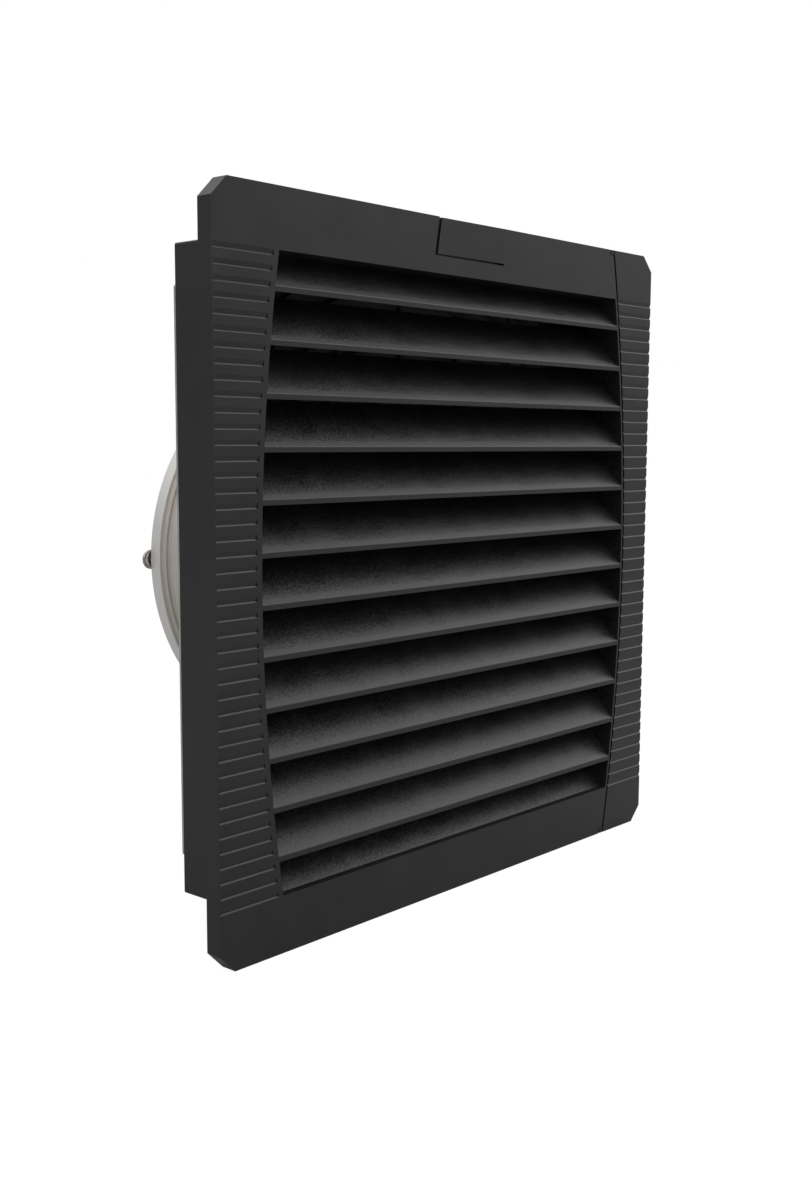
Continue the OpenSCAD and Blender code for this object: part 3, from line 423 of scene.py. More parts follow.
def closed_foam():
    """Closed-cell EPDM foam: dark grey skin with cut cells 0.7 mm across, darker in the middle as painted
    shade in each cell's hollow.
    """
    material, tree, shader, where = blank("EPDM foam, closed cell", Roughness=0.86)
    cells = add(tree, "ShaderNodeTexVoronoi", {"feature": "F1"}, {"Scale": per(0.7)},
                {"Vector": where}).outputs["Distance"]
    dress(tree, shader, cells, ("#141415", "#2e2e2f"), relief=cells, strength=0.6, depth=0.2 * MM)
    return material


def fleece():
    """Polyester filter fleece: matted fibres, with painted shade in the gaps between them. Real fibres are
    0.05 mm thick, and they are drawn 0.7 mm thick, in two crossing directions, so that they show."""
    material, tree, shader, where = blank("Polyester fleece, bonded", Roughness=0.95, Sheen_Weight=0.3)
    warp = add(tree, "ShaderNodeTexNoise", values={"Scale": per(9), "Detail": 2.0},
               links={"Vector": where}).outputs["Color"]
    bent = add(tree, "ShaderNodeVectorMath", {"operation": "MULTIPLY_ADD"}, {1: (4 * MM, 4 * MM, 4 * MM)},
               {0: warp, 2: where}).outputs[0]
    ways = []
    for stretch in ((0.25, 1.0, 2.2), (2.2, 1.0, 0.25)):
        drawn = add(tree, "ShaderNodeMapping", values={"Scale": stretch}, links={"Vector": bent}).outputs[0]
        noise = add(tree, "ShaderNodeTexNoise", values={"Scale": per(1.6), "Detail": 5.0, "Roughness": 0.7},
                    links={"Vector": drawn})
        ways.append(noise.outputs["Fac"])
    both = add(tree, "ShaderNodeMath", {"operation": "MAXIMUM"}, links={0: ways[0], 1: ways[1]}).outputs[0]
    dress(tree, shader, both, ("#0b0b0c", "#3a3a3b"), relief=both, strength=0.8, depth=0.6 * MM)
    return material


def rolled_zinc():
    """Hot-dip zinc on rolled sheet: spangles 9 mm across that catch the light each a little differently, over
    the faint waviness that rolling leaves."""
    material, tree, shader, where = blank("Zinc-coated sheet, spangled", Metallic=1.0)
    spangle = add(tree, "ShaderNodeTexVoronoi", {"feature": "F1"}, {"Scale": per(9)}, {"Vector": where})
    tone = add(tree, "ShaderNodeSeparateColor", links={"Color": spangle.outputs["Color"]}).outputs[0]
    wave = add(tree, "ShaderNodeTexNoise", values={"Scale": per(2.5), "Detail": 3.0},
               links={"Vector": where}).outputs["Fac"]
    dress(tree, shader, tone, ("#b2b0ab", colours().zinc), tone, (0.30, 0.46), wave, 0.08, 0.1 * MM)
    return material


def die_cast():
    """Die-cast aluminium: dull, with flow marks along the barrel and a sandy skin. Inside the step's radius
    it is darker and slightly brown. That is partly the as-cast skin, and partly painted shade and painted
    warm reflection standing in for the light in the flanges' recess.
    On the flanges' turned outer edges it is light and neutral. The real skin's grain is about 0.3 mm, and it
    is drawn at 0.9 mm so that it shows."""
    material, tree, shader, where = blank("Aluminium, die cast", Metallic=0.85)
    stretch = {"Scale": (1.0, 0.3, 1.0)}
    drawn = add(tree, "ShaderNodeMapping", values=stretch, links={"Vector": where}).outputs[0]
    flow = add(tree, "ShaderNodeTexNoise", values={"Scale": per(18), "Detail": 3.0},
               links={"Vector": drawn}).outputs["Fac"]
    sand = add(tree, "ShaderNodeTexNoise", values={"Scale": per(0.9), "Detail": 4.0, "Roughness": 0.65},
               links={"Vector": where}).outputs["Fac"]
    flat = add(tree, "ShaderNodeVectorMath", {"operation": "MULTIPLY"}, {1: (1.0, 0.0, 1.0)},
               {0: where}).outputs[0]
    radius = add(tree, "ShaderNodeVectorMath", {"operation": "LENGTH"}, links={0: flat}).outputs["Value"]
    # from the step's radius to just inside the flanges' own. Inside, the darker, browner tone is partly as
    # cast and partly painted shade and painted reflection for the recess. Outside, the turned rim is light.
    edge = {"From Min": 73.2 * MM, "From Max": 74.0 * MM, "To Min": 0.0, "To Max": 0.9}
    turned_rim_over_painted_shade = add(tree, "ShaderNodeMapRange", {"interpolation_type": "SMOOTHSTEP"}, edge,
               {"Value": radius}).outputs["Result"]
    tone = add(tree, "ShaderNodeMath", {"operation": "MULTIPLY_ADD", "use_clamp": True}, {1: 0.3},
               {0: flow, 2: turned_rim_over_painted_shade}).outputs[0]
    dress(tree, shader, tone, ("#d1cbc4", colours().casting), sand, (0.48, 0.66), sand, 0.25, 0.12 * MM)
    return material


def turned_metal(name, tones, span, ring_mm):
    """Metal turned on a lathe: rings about the fan axis, ring_mm apart, that change its tone and gloss."""
    material, tree, shader, where = blank(name, Metallic=1.0)
    rings = add(tree, "ShaderNodeTexWave", {"wave_type": "RINGS", "rings_direction": "Y"},
                {"Scale": lines_per(ring_mm), "Distortion": 0.4, "Detail": 2.0},
                {"Vector": where}).outputs["Fac"]
    dress(tree, shader, rings, tones, rings, span, rings, 0.06, 0.05 * MM)
    return material


def turned_aluminium():
    """The motor base, faced on a lathe. Real feed lines are 0.1 mm apart, and they are drawn 0.6 mm apart."""
    return turned_metal("Aluminium, turned", ("#a4a4a5", "#c2c2c3"), (0.22, 0.36), 0.6)


def ground_bearing():
    """Ground, hardened rings of the ball bearings, nearly mirror bright. Real grinding lines are too fine to
    see, and they are drawn 0.8 mm apart."""
    return turned_metal("Bearing steel, ground", ("#b4b5b8", "#d8d8da"), (0.1, 0.18), 0.8)


def ground_shaft():
    """The ground shaft: bright. Real grinding lines are too fine to see, and they are drawn 0.7 mm apart."""
    return turned_metal("Shaft steel, ground", ("#b2b3b6", "#d2d2d4"), (0.1, 0.2), 0.7)


def coated_metal(name, tones, span, cloud_mm):
    """Metal with a thin even skin: faint cloudy changes of tone and gloss, cloud_mm across."""
    material, tree, shader, where = blank(name, Metallic=1.0)
    cloud = add(tree, "ShaderNodeTexNoise", values={"Scale": per(cloud_mm), "Detail": 3.0},
                links={"Vector": where}).outputs["Fac"]
    dress(tree, shader, cloud, tones, cloud, span, cloud, 0.05, 0.04 * MM)
    return material


def drawn_pin():
    """Pins of drawn steel wire: bright, with small clouds that the drawing oil leaves."""
    return coated_metal("Steel pin, drawn", ("#9d9da0", "#bcbcbe"), (0.22, 0.34), 1.5)


def tempered_spring():
    """Spring steel after tempering: darker and bluer than plated steel, clouded 3 mm across."""
    return coated_metal("Spring steel, tempered", ("#7f8185", "#a2a4a8"), (0.25, 0.4), 3.0)


def plated_screw():
    """Screws with bright zinc plating: light and slightly bluish, clouded 1.5 mm across."""
    return coated_metal("Screw steel, zinc plated", ("#a9abad", "#d0d1d0"), (0.22, 0.36), 1.5)


def plated_wire():
    """Nickel-plated guard wire: glossy and slightly warm, clouded 2 mm along the wire."""
    return coated_metal("Wire, nickel plated", ("#9a9894", "#c2bfba"), (0.16, 0.28), 2.0)


def turned_brass():
    """Terminal clamps of turned brass: yellow, with small clouds of tarnish."""
    return coated_metal("Brass, turned", ("#9c8142", "#c6a861"), (0.22, 0.34), 1.5)


def stacked_laminations():
    """Punched sheets in a stack: fine dark lines between bright edges. Real sheets are 0.5 mm thick, and
    they are drawn 1 mm thick so that the lines show."""
    material, tree, shader, where = blank("Silicon steel, laminated", Metallic=0.9)
    lines = add(tree, "ShaderNodeTexWave", {"bands_direction": "Y"}, {"Scale": lines_per(1.0)},
                {"Vector": where}).outputs["Fac"]
    dress(tree, shader, lines, ("#3a3b3e", "#85868a"), lines, (0.35, 0.6), lines, 0.5, 0.1 * MM)
    return material


def wound_copper():
    """Enamelled copper wire 0.5 mm thick under varnish: lines round the winding, darker in the creases
    between turns as painted shade, with a warm, glossy coat.
    """
    material, tree, shader, where = blank(
        "Copper wire, varnished", Metallic=0.7, Roughness=0.35, Coat_Weight=0.5)
    lines = add(tree, "ShaderNodeTexWave", {"wave_type": "RINGS", "rings_direction": "Y"},
                {"Scale": lines_per(0.5), "Distortion": 1.2, "Detail": 2.0}, {"Vector": where}).outputs["Fac"]
    dress(tree, shader, lines, ("#5a2a12", "#b8642e"), relief=lines, strength=0.5, depth=0.2 * MM)
    return material


def dipped_paint():
    """Black electro-dipped paint on pressed steel: thin and glossy, with orange peel 2.2 mm across."""
    material, tree, shader, where = blank("Paint, electro-dipped black")
    peel = add(tree, "ShaderNodeTexNoise", values={"Scale": per(2.2), "Detail": 2.0},
               links={"Vector": where}).outputs["Fac"]
    dress(tree, shader, peel, ("#141415", "#1c1c1e"), peel, (0.28, 0.40), peel, 0.12, 0.1 * MM)
    return material


def ivory_polyamide():
    """Unfilled ivory polyamide of the terminal block: smooth, with light let a millimetre into it."""
    material, tree, shader, where = blank(
        "Polyamide, ivory", Subsurface_Weight=0.15, Subsurface_Scale=1.0 * MM)
    cloud = add(tree, "ShaderNodeTexNoise", values={"Scale": per(6), "Detail": 2.0},
                links={"Vector": where}).outputs["Fac"]
    dress(tree, shader, cloud, ("#d6d0c0", "#e2dccd"), cloud, (0.30, 0.40))
    return material


def ray_kinds(tree):
    """Two sockets for the stage: whether the camera looks here, and whether a reflection does."""
    path = add(tree, "ShaderNodeLightPath")
    seen = add(tree, "ShaderNodeMath", {"operation": "MAXIMUM"},
               links={0: path.outputs["Is Camera Ray"], 1: path.outputs["Is Transmission Ray"]})
    return seen.outputs[0], path.outputs["Is Glossy Ray"]


FINISHES = {
    "cover_plastic": cover_abs,
    "frame_plastic": frame_abs,
    "foam": closed_foam,
    "mat_fibre": fleece,
    "pin_steel": drawn_pin,
    "spring_steel": tempered_spring,
    "plate_zinc": rolled_zinc,
    "screw_zinc": plated_screw,
    "cast_aluminium": die_cast,
    "motor_aluminium": turned_aluminium,
    "core_steel": stacked_laminations,
    "winding_copper": wound_copper,
    "bearing_steel": ground_bearing,
    "guard_wire": plated_wire,
    "box_plastic": moulded_polyamide,
    "block_plastic": ivory_polyamide,
    "terminal_brass": turned_brass,
    "rotor_paint": dipped_paint,
    "cage_aluminium": die_cast,
    "blade_plastic": moulded_polyamide,
    "shaft_steel": ground_shaft,
}
# nodes whose finish differs from the rest of their slot
OWN_FINISHES = {"louvre": louvre_abs, "ring_grid": grid_abs_painted_highlight}
_made = {}


def finish_of(slot, node=None):
    """The finish of a node or of its material slot, made once."""
    make = OWN_FINISHES.get(node, FINISHES[slot])
    if make not in _made:
        _made[make] = make()
    return _made[make]


# Operators


class FAN_OT_finishes(bpy.types.Operator):
    """Gives each carried-over CAD node the finish of its material slot"""

    bl_idname = "fan.finishes"
    bl_label = "Finish the rigid pieces"

    def execute(self, context):
        for part in frame["record"]["subparts"]:
            node = frame["nodes"][part["node"]]
            node.data.materials.clear()
            node.data.materials.append(finish_of(part["material_slot"], part["node"]))
        return {"FINISHED"}


class FAN_OT_gasket(bpy.types.Operator):
    """Foam gasket: a flat bead with round edges that runs round the body"""

    bl_idname = "fan.gasket"
    bl_label = "Foam gasket"

    def execute(self, context):
        """Each point of the strip's section runs round a square. The corner radius is the strip's width at
        the outer edge, and less by as far as the point lies inside it."""
        low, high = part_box("panel_gasket")
        outer, width, least_corner = high[0], 7.0 * MM, 0.2 * MM
        section = foam_section(outer - width, outer, low[1], high[1])
        a = square_angles()
        loops = [polar(a, box_lengths(a, half, max(width - (outer - half), least_corner)), y)
                 for half, y in section]
        piece = put_mesh("foam_gasket", [(np.stack(loops), True, True)], "housing", "foam")
        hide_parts("panel_gasket")
        return {"FINISHED"}


class FAN_OT_seal(bpy.types.Operator):
    """Fan seal: a flat foam ring between the plate and the fan, notched about the four screws"""

    bl_idname = "fan.seal"
    bl_label = "Fan seal"

    def execute(self, context):
        """The strip's section runs round the fan axis. Its outer edge falls back to a circle of the notch's
        radius about each screw, and the rest of the section is drawn in with it."""
        low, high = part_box("fan_seal")
        outer, inner, notch = high[0], BORE_R + 0.05 * MM, 1.6 * MM
        a = self.angles(notch)[:, None]
        off = SCREW_PITCH_R * np.sin(a % QUARTER - QUARTER / 2)
        fallen = SCREW_PITCH_R - np.sqrt(np.maximum(notch**2 - off**2, 0))
        # the two points at a notch's edge count as inside it in spite of rounding
        reach = np.where(np.abs(off) < notch * 1.0005, fallen, outer)
        section = foam_section(inner, outer, low[1], high[1])
        r = inner + (section[:, 0] - inner) / (outer - inner) * (reach - inner)
        ring = polar(a, r, section[:, 1])
        piece = put_mesh("seal_ring", [(ring, True, True)], "housing", "foam")
        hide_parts("fan_seal")
        return {"FINISHED"}

    def angles(self, notch):
        """Directions round the ring: even steps, and in the four notches the sines of even steps, so that
        points are closest where a notch is steepest. One more stands just outside each notch's edge."""
        near = math.asin(notch / SCREW_PITCH_R) * np.sin(np.linspace(-QUARTER, QUARTER, 17))
        edge = near[-1] * 1.002
        notched = [np.concatenate([[-edge], near, [edge]]) + math.radians(d) for d in (45, 135, 225, 315)]
        even = around(180)
        clear = even[np.abs(even % QUARTER - QUARTER / 2) > 1.5 * edge]
        return np.sort(np.concatenate([clear] + notched))


class FAN_OT_mat(bpy.types.Operator):
    """Filter mat: a fleece pad with soft edges and an uneven surface, in the plate's tray"""

    bl_idname = "fan.mat"
    bl_label = "Filter mat"

    def execute(self, context):
        """Loops round a square, from the middle of one face outwards, over a quarter circle at each edge, and
        back to the middle of the other face. The faces sink by a ripple that fades out towards the edge."""
        low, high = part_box("filter_mat")
        half, corner, edge, least = high[0], 5.0 * MM, 1.2 * MM, 0.05 * MM
        a = square_angles()
        arc = np.linspace(0, QUARTER, 6)
        shares = np.linspace(0, 1, 60)[1:]
        halves = []
        for side, face in ((-1, low[1]), (1, high[1])):
            levels = [(half - edge * (1 - math.cos(t)), face - side * edge * (1 - math.sin(t))) for t in arc]
            levels += [(reach, face) for reach in (half - edge) * (1 - shares)]
            rows = []
            for reach, y in levels:
                reach = max(reach, least)
                rows.append(polar(a, box_lengths(a, reach, min(corner, reach * 0.9)), y))
            grid = np.stack(rows)
            sunk = sizes().fleece_relief * (ripple(grid[..., 0], grid[..., 2], 7 + side) - 1)
            inside = half - np.maximum(np.abs(grid[..., 0]), np.abs(grid[..., 2]))
            grid[..., 1] += side * sunk * np.clip(inside / (2 * edge), 0, 1)
            halves.append(grid if side > 0 else grid[::-1])
        pad = np.concatenate(halves)
        piece = put_mesh("fleece_mat", [(pad, False, True)], "housing", "mat_fibre", sharp=60)
        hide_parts("filter_mat")
        return {"FINISHED"}


class FAN_OT_plate(bpy.types.Operator):
    """Pressed plate: a flange with cut corners, a drawn square tray and the air hole"""

    bl_idname = "fan.plate"
    bl_label = "Pressed plate"

    def execute(self, context):
        """Loops from the flange's edge over the tray's outer bends to the hole, and back over its inner
        bends. A bend is a quarter circle, and a square loop's corner radius grows with its size."""
        low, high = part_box("fan_plate")
        half, front, back = high[0], low[1], high[1]
        sheet, cut, tray, corner, hole = 1.0 * MM, 14.0 * MM, 103.2 * MM, 6.0 * MM, 67.0 * MM
        outside, inside, burr, least_corner = sizes().draw_radius, 0.4 * MM, 0.15 * MM, 0.5 * MM
        cut_ends = [k * QUARTER + s * math.atan2(half - cut, half) for k in range(4) for s in (-1, 1)]
        a = np.sort(np.concatenate([square_angles(), cut_ends]))
        slanted = (2 * half - cut) / (np.abs(np.cos(a)) + np.abs(np.sin(a)))
        outline = np.minimum(box_lengths(a, half, 0.01 * MM), slanted)

        def square(h, y):
            return polar(a, box_lengths(a, h, max(corner + h - tray, least_corner)), y)

        bends = [(1 - math.sin(t), 1 - math.cos(t)) for t in np.linspace(0, QUARTER, 6)]
        wall, floor, rim = tray - sheet, back - sheet, front + sheet
        loops = [polar(a, outline, y) for y in (front + burr, rim - burr)] + [polar(a, outline - burr, rim)]
        loops += [square(tray + outside * out, rim + outside * up) for out, up in bends]
        loops += [square(tray - outside * up, back - outside * out) for out, up in bends]
        loops += [polar(a, hole + burr, back), polar(a, hole, back - burr)]
        loops += [polar(a, hole, floor + burr), polar(a, hole + burr, floor)]
        loops += [square(wall - inside * out, floor - inside * up) for out, up in bends]
        loops += [square(wall + inside * up, front + inside * out) for out, up in bends]
        loops += [polar(a, outline - burr, front)]
        piece = put_mesh("pressed_plate", [(np.stack(loops), True, True)], "housing", "plate_zinc")
        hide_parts("fan_plate")
        return {"FINISHED"}


class FAN_OT_casting(bpy.types.Operator):
    """Fan casting: barrel with two flanges, four struts and the motor's disc"""

    bl_idname = "fan.casting"
    bl_label = "Fan casting"

    def execute(self, context):
        low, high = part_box("fan_frame")
        disc_r, disc_t, set_in = 33.0 * MM, 5.4 * MM, 10.5 * MM
        disc_front = high[1] - set_in
        grids = [self.barrel(low[1], high[1]), self.disc(disc_r, disc_front, disc_t)]
        grids += self.struts(disc_r, disc_front, disc_t)
        piece = put_mesh("fan_casting", grids, "housing", "cast_aluminium", sharp=40)
        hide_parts("fan_frame")
        return {"FINISHED"}

    def barrel(self, front, back):
        """The profile of flange, barrel, step and rear flange, turned about the fan axis."""
        barrel, step = 71.7 * MM, 73.2 * MM
        flange, rim, rise = 4.6 * MM, 5.5 * MM, 1.7 * MM
        foot, head = front + flange, back - rim
        profile = [(BORE_R, front), (FAN_R, front), (FAN_R, foot), (barrel, foot), (barrel, head - rise),
                   (step, head - rise), (step, head), (FAN_R, head), (FAN_R, back), (BORE_R, back)]
        return lathe(rounded(profile, sizes().casting_fillet, 5), 288), True, True

    def disc(self, radius, front, thick):
        """The motor disc's profile, with its sunk ring behind and its recess in front, turned likewise."""
        back, middle, centre, recess = front + thick, front + thick / 2, 0.02 * MM, 9.0 * MM
        ring_in, ring_out, slope, sunk = 15.0 * MM, 26.0 * MM, 0.6 * MM, 0.8 * MM
        profile = [(centre, back), (ring_in, back), (ring_in + slope, back - sunk), (ring_out, back - sunk),
                   (ring_out + slope, back), (radius, back), (radius, front), (recess, front),
                   (recess, middle), (centre, middle)]
        return lathe(rounded(profile, sizes().casting_fillet * 0.8, 4), 192), True, True

    def struts(self, disc_r, front, thick):
        """Four bars between disc and barrel. A bar's section is a superellipse, cos and sin to the power of
        0.38, and it grows wider towards both ends by a falling exponential."""
        half_width, power, swell, reach = 2.5 * MM, 0.38, 0.45, 0.06
        # how far a bar reaches into the disc and into the barrel, and how much thinner than the disc it is
        root, sink, slack = 3.0 * MM, 1.5 * MM, 0.02 * MM
        sides, count = 28, 4
        t = around(sides)
        along = np.linspace(0, 1, 24)[:, None]
        flare = 1 + swell * np.exp(-along / reach) + swell * np.exp(-(1 - along) / reach)
        r = (disc_r - root) + (BORE_R - disc_r + root + sink) * along
        across = half_width * flare * np.sign(np.cos(t)) * np.abs(np.cos(t)) ** power
        depth = (thick / 2 - slack) * np.sign(np.sin(t)) * np.abs(np.sin(t)) ** power
        bar = np.stack(np.broadcast_arrays(r, front + thick / 2 + depth, across), -1)
        ends = bar.mean(1, keepdims=True)
        bar = np.concatenate([np.repeat(ends[:1], sides, 1), bar, np.repeat(ends[-1:], sides, 1)])
        return [(bar @ turned(k + 0.5, count).T, False, True) for k in range(count)]


class FAN_OT_box(bpy.types.Operator):
    """Terminal box and lid: merged copies of the CAD solids with round moulded edges"""

    bl_idname = "fan.box"
    bl_label = "Terminal box"

    def execute(self, context):
        pieces = (("terminal_box", "moulded_box", "housing"), ("terminal_lid", "moulded_lid", "lid"))
        edge_angle = 35.0
        for node, name, body in pieces:
            work = bmesh.new()
            work.from_mesh(frame["nodes"][node].data)
            bmesh.ops.remove_doubles(work, verts=work.verts, dist=0.002 * MM)
            bmesh.ops.dissolve_limit(work, angle_limit=math.radians(1), verts=work.verts, edges=work.edges)
            mesh = bpy.data.meshes.new(name)
            work.to_mesh(mesh)
            work.free()
            piece = place(name, mesh, body, "box_plastic", edge_angle)
            edges = piece.modifiers.new("Edges", "BEVEL")
            edges.width = sizes().moulded_edge
            edges.segments = 3
            edges.limit_method = "ANGLE"
            edges.angle_limit = math.radians(edge_angle)
            edges.harden_normals = True
            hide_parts(node)
        return {"FINISHED"}


class FAN_OT_guard(bpy.types.Operator):
    """Finger guard: wire rings welded to four hairpin loops that carry the fixing screws"""

    bl_idname = "fan.guard"
    bl_label = "Finger guard"

    def execute(self, context):
        """Rings are circles about the fan axis. A hairpin is two straight legs and the half circle that joins
        them. A weld is a flattened ball where a ring crosses a leg."""
        low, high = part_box("finger_guard")
        wire = sizes().wire_radius
        loop_y, ring_y = low[1] + wire, high[1] - wire
        radii = np.linspace(14.0 * MM, 66.0 * MM, 7)
        loop_r, loop_end = 3.8 * MM, 78.0 * MM
        bend, reach = loop_r - wire, loop_end - loop_r
        grids = [(tube(polar(around(144), r, ring_y), wire, True), True, True) for r in radii]
        turn = polar(np.linspace(-QUARTER, QUARTER, 25), bend, 0.0) + [reach, 0, 0]
        start = np.linspace(radii[0] - wire, reach, 12, endpoint=False)
        leg = np.stack([start, np.zeros_like(start), np.full_like(start, -bend)], -1)
        hairpin = np.concatenate([leg, turn, (leg * [1, 1, -1])[::-1]]) + [0, loop_y, 0]
        v = np.linspace(0, np.pi, 9)[:, None]
        u = around(10)[None]
        ball = np.stack([np.sin(v) * np.cos(u), np.cos(v) + 0 * u, np.sin(v) * np.sin(u)], -1)
        weld = ball * [wire * 0.95, wire * 0.8, wire * 0.95]
        for k in range(4):
            spin = turned(k, 4).T
            grids.append((tube(hairpin @ spin, wire), False, True))
            for r in radii:
                for side in (-1, 1):
                    at = np.array([math.sqrt(r * r - bend * bend), (loop_y + ring_y) / 2, side * bend])
                    grids.append(((weld + at) @ spin, False, True))
        piece = put_mesh("wire_guard", grids, "housing", "guard_wire", sharp=60)
        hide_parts("finger_guard")
        return {"FINISHED"}


class FAN_OT_impeller(bpy.types.Operator):
    """Impeller: a hub ring and seven swept and twisted blades"""

    bl_idname = "fan.impeller"
    bl_label = "Impeller"

    def execute(self, context):
        """The hub ring is a rectangle turned about the fan axis. The blades are one, turned in even steps."""
        hub, ring, tip, deep, count = 36.0 * MM, 1.5 * MM, 67.45 * MM, 29.0 * MM, 7
        front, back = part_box("rotor_cup")[1][1] - deep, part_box("impeller")[1][1]
        inner, outer, fillet = hub + 0.02 * MM, hub + ring, 0.6 * MM
        profile = [(inner, front), (outer, front), (outer, back), (inner, back)]
        grids = [(lathe(rounded(profile, fillet, 5), 192), True, True)]
        blade = self.blade(hub + ring / 2, tip, front, deep)
        grids += [(blade @ turned(k, count), False, True) for k in range(count)]
        piece = put_mesh("impeller_blades", grids, "rotor", "blade_plastic", sharp=50)
        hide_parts("impeller")
        return {"FINISHED"}

    def blade(self, root, tip, front, deep):
        """One blade as a function of its share s from root to tip and of an angle v round its section.

        The section runs along its chord with u = (1 - cos v) / 2 and lies to both sides of a parabola, as
        thick as root(u) times (1 - u) plus a share of sin(v) squared. The chord grows by 18% to the tip, its
        pitch falls from 52 to 28 degrees, and it leans round the axis by 26 degrees times s squared."""
        grow, camber, body, blunt, used = 0.18, 0.09, 2.2, 0.35, 0.985
        root_pitch, tip_pitch, lean, forward = 52, 28, 26, 1.0 * MM
        s = np.linspace(0, 1, 30)[:, None]
        v = around(56)[None]
        u = (1 - np.cos(v)) / 2
        side = np.where(v < np.pi, 1.0, -1.0)
        r = root + s * (tip - root)
        chord = deep * (1.0 + grow * s)
        pitch = np.radians(root_pitch - (root_pitch - tip_pitch) * s)
        sweep = np.radians(lean) * s * s
        # the tip closes over the last 3% of the length
        fade = np.sqrt(np.clip((1 - s) / 0.03, 0, 1))
        foil = np.clip(np.sqrt(np.maximum(u, 0)) * (1 - u) * body + blunt * np.sin(v) ** 2, 0, 1)
        thick = sizes().blade_thickness / 2 * foil * fade
        bulge = camber * chord * (1 - (2 * u - 1) ** 2) + side * thick
        run = (u - 0.5) * chord * used
        turn = (run * np.cos(pitch) - bulge * np.sin(pitch)) / r + sweep
        y = front + deep / 2 - forward + run * np.sin(pitch) + bulge * np.cos(pitch)
        return polar(turn, r, y)


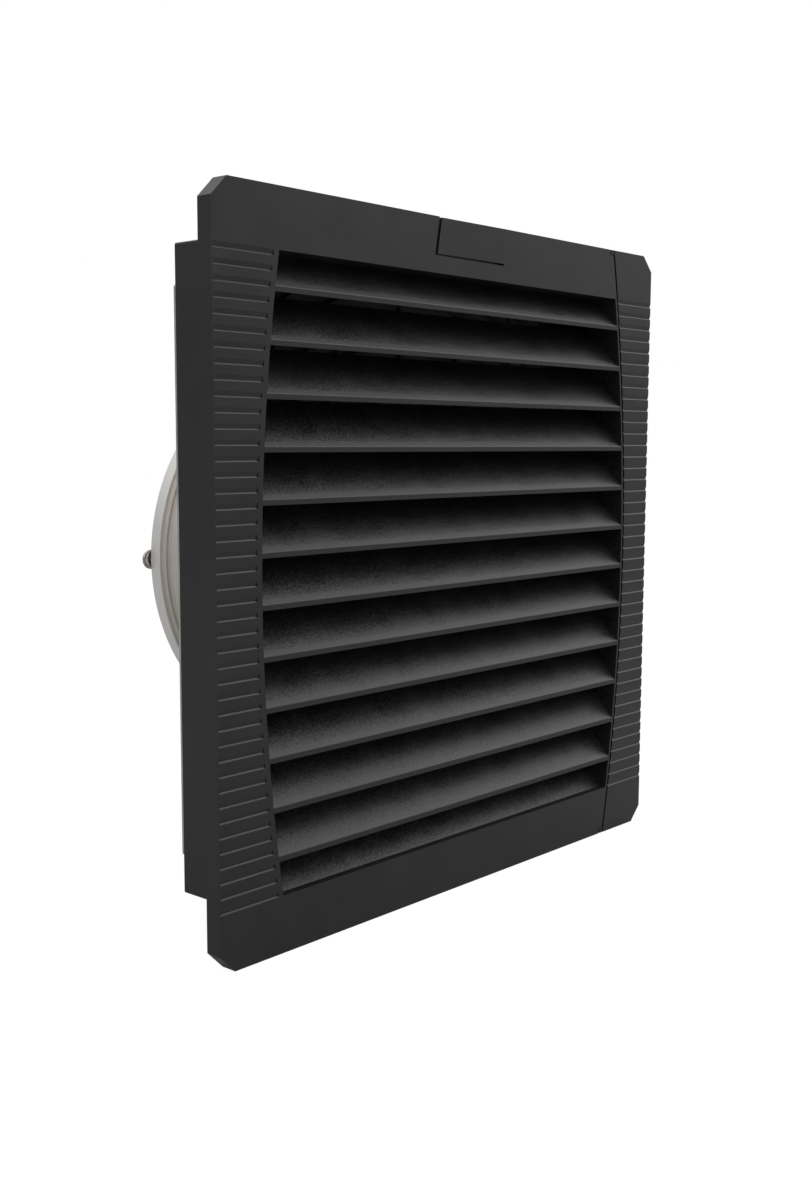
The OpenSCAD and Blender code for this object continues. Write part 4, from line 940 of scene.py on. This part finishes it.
class FAN_OT_stage(bpy.types.Operator):
    """Floor, light and the camera at the photograph's viewing angle"""

    bl_idname = "fan.stage"
    bl_label = "Floor, light and camera"

    def execute(self, context):
        self.floor(context.scene)
        self.sky(context.scene)
        self.camera(context.scene)
        context.scene.view_settings.view_transform = "Standard"
        return {"FINISHED"}

    def floor(self, scene):
        """A flat sheet just under the lowest edge, a grid of even steps. The camera sees it white but for
        shadows. Other rays see grey paper, and reflections a little white in it, so that it lights little."""
        gap, reach, steps = 0.2 * MM, 3.0, 25
        mirrored, lifted, glow = 0.12, 0.8, 1.2
        material = bpy.data.materials.new("Paper, seamless white")
        tree = bare_tree(material)
        seen, glossy = ray_kinds(tree)
        both = add(tree, "ShaderNodeMath", {"operation": "MULTIPLY_ADD"}, {1: mirrored}, {0: glossy, 2: seen})
        lift = add(tree, "ShaderNodeMath", {"operation": "MULTIPLY"}, {1: lifted}, {0: both.outputs[0]})
        paper = add(tree, "ShaderNodeBsdfDiffuse", values={"Color": linear("#a4a4a4")})
        shown = {"Color": linear(colours().backdrop), "Strength": glow}
        white = add(tree, "ShaderNodeEmission", values=shown)
        mix = add(tree, "ShaderNodeMixShader",
                  links={0: lift.outputs[0], 1: paper.outputs[0], 2: white.outputs[0]})
        add(tree, "ShaderNodeOutputMaterial", links={"Surface": mix.outputs[0]})
        side = np.linspace(-reach, reach, steps)
        x, y = np.meshgrid(side, side, indexing="ij")
        k = np.arange(steps * steps).reshape(steps, steps)
        quads = np.stack([k[:-1, :-1], k[1:, :-1], k[1:, 1:], k[:-1, 1:]], -1).reshape(-1, 4)
        points = np.stack([x, y, np.full_like(x, float(LOW[2]) - gap)], -1).reshape(-1, 3)
        mesh = bpy.data.meshes.new("floor")
        mesh.from_pydata(points.tolist(), [], quads.tolist())
        mesh.materials.append(material)
        floor = bpy.data.objects.new("floor", mesh)
        scene.collection.objects.link(floor)

    def sky(self, scene):
        """A soft box all round: brighter from above and from the right in front, dimmer from the left behind,
        with one soft lamp high on the right that brightens the slats' noses. The camera sees it white."""
        right_front, high_right = (0.745, -0.667, 0.0), (0.77, -0.2, 0.6)
        world = bpy.data.worlds.new("Soft box")
        scene.world = world
        tree = bare_tree(world)
        way = add(tree, "ShaderNodeTexCoord").outputs["Generated"]
        height = add(tree, "ShaderNodeSeparateXYZ", links={"Vector": way}).outputs["Z"]
        level = add(tree, "ShaderNodeMapRange", {"interpolation_type": "SMOOTHSTEP"},
                    {"From Min": -0.05, "From Max": 0.75, "To Min": 0.585, "To Max": 2.1}, {"Value": height})
        front = add(tree, "ShaderNodeVectorMath", {"operation": "DOT_PRODUCT"}, {1: right_front}, {0: way})
        share = add(tree, "ShaderNodeMapRange",
                    values={"From Min": -1.0, "From Max": 1.0, "To Min": 0.6, "To Max": 0.87},
                    links={"Value": front.outputs["Value"]})
        level = add(tree, "ShaderNodeMath", {"operation": "MULTIPLY"},
                    links={0: level.outputs["Result"], 1: share.outputs["Result"]})
        lamp = add(tree, "ShaderNodeVectorMath", {"operation": "DOT_PRODUCT"}, {1: high_right}, {0: way})
        panel = add(tree, "ShaderNodeMapRange", {"interpolation_type": "SMOOTHSTEP"},
                    {"From Min": 0.86, "From Max": 0.98, "To Min": 0.0, "To Max": 1.5},
                    {"Value": lamp.outputs["Value"]})
        level = add(tree, "ShaderNodeMath", {"operation": "ADD"},
                    links={0: level.outputs[0], 1: panel.outputs["Result"]})
        seen = ray_kinds(tree)[0]
        light = add(tree, "ShaderNodeBackground", links={"Strength": level.outputs[0]})
        white = add(tree, "ShaderNodeBackground", values={"Color": linear(colours().backdrop)})
        mix = add(tree, "ShaderNodeMixShader", links={0: seen, 1: light.outputs[0], 2: white.outputs[0]})
        add(tree, "ShaderNodeOutputWorld", links={"Surface": mix.outputs[0]})

    def camera(self, scene):
        """The photograph's camera: left of the face and a little above its middle, worked out from the face's
        corners. Its turns are in radians, and its focal length is in the photograph's pixels."""
        yaw, pitch, roll = 0.8486, -0.1155, 0.0036
        place_at = np.array([-0.40453, -0.33165, 0.04561])
        focal_px, height_px = 1366.73, 1200
        c, s = math.cos(yaw), math.sin(yaw)
        ahead = np.array([s * math.cos(pitch), c * math.cos(pitch), math.sin(pitch)])
        level = np.array([c, -s, 0.0])
        above = np.cross(level, ahead)
        right = math.cos(roll) * level + math.sin(roll) * above
        up = -math.sin(roll) * level + math.cos(roll) * above
        data = bpy.data.cameras.new("camera")
        data.lens = focal_px / height_px * data.sensor_width
        data.clip_start = 10 * MM
        camera = bpy.data.objects.new("camera", data)
        rows = np.stack([right, up, -ahead, place_at], 1).tolist()
        camera.matrix_world = Matrix(rows + [[0, 0, 0, 1]])
        scene.collection.objects.link(camera)
        scene.camera = camera


class FAN_PT_panel(bpy.types.Panel):
    """Lists the sizes, colours and pieces of the filter fan"""

    bl_idname = "FAN_PT_panel"
    bl_label = "Filter fan"
    bl_space_type = "VIEW_3D"
    bl_region_type = "UI"
    bl_category = "Filter fan"

    def draw(self, context):
        column = self.layout.column()
        for group in (sizes(), colours()):
            for name in group.__annotations__:
                column.prop(group, name)
        for step in STEPS:
            column.operator(step.bl_idname)


STEPS = (
    FAN_OT_finishes, FAN_OT_gasket, FAN_OT_seal, FAN_OT_mat, FAN_OT_plate, FAN_OT_casting, FAN_OT_box,
    FAN_OT_guard, FAN_OT_impeller, FAN_OT_stage)
CLASSES = (FanSizes, FanColours) + STEPS + (FAN_PT_panel,)


def register():
    for cls in CLASSES:
        bpy.utils.register_class(cls)
    bpy.types.Scene.fan_sizes = bpy.props.PointerProperty(type=FanSizes)
    bpy.types.Scene.fan_colours = bpy.props.PointerProperty(type=FanColours)


def unregister():
    del bpy.types.Scene.fan_colours
    del bpy.types.Scene.fan_sizes
    for cls in reversed(CLASSES):
        bpy.utils.unregister_class(cls)


def main():
    """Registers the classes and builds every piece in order."""
    register()
    for step in STEPS:
        area, name = step.bl_idname.split(".")
        getattr(getattr(bpy.ops, area), name)()


if __name__ == "__main__":
    main()
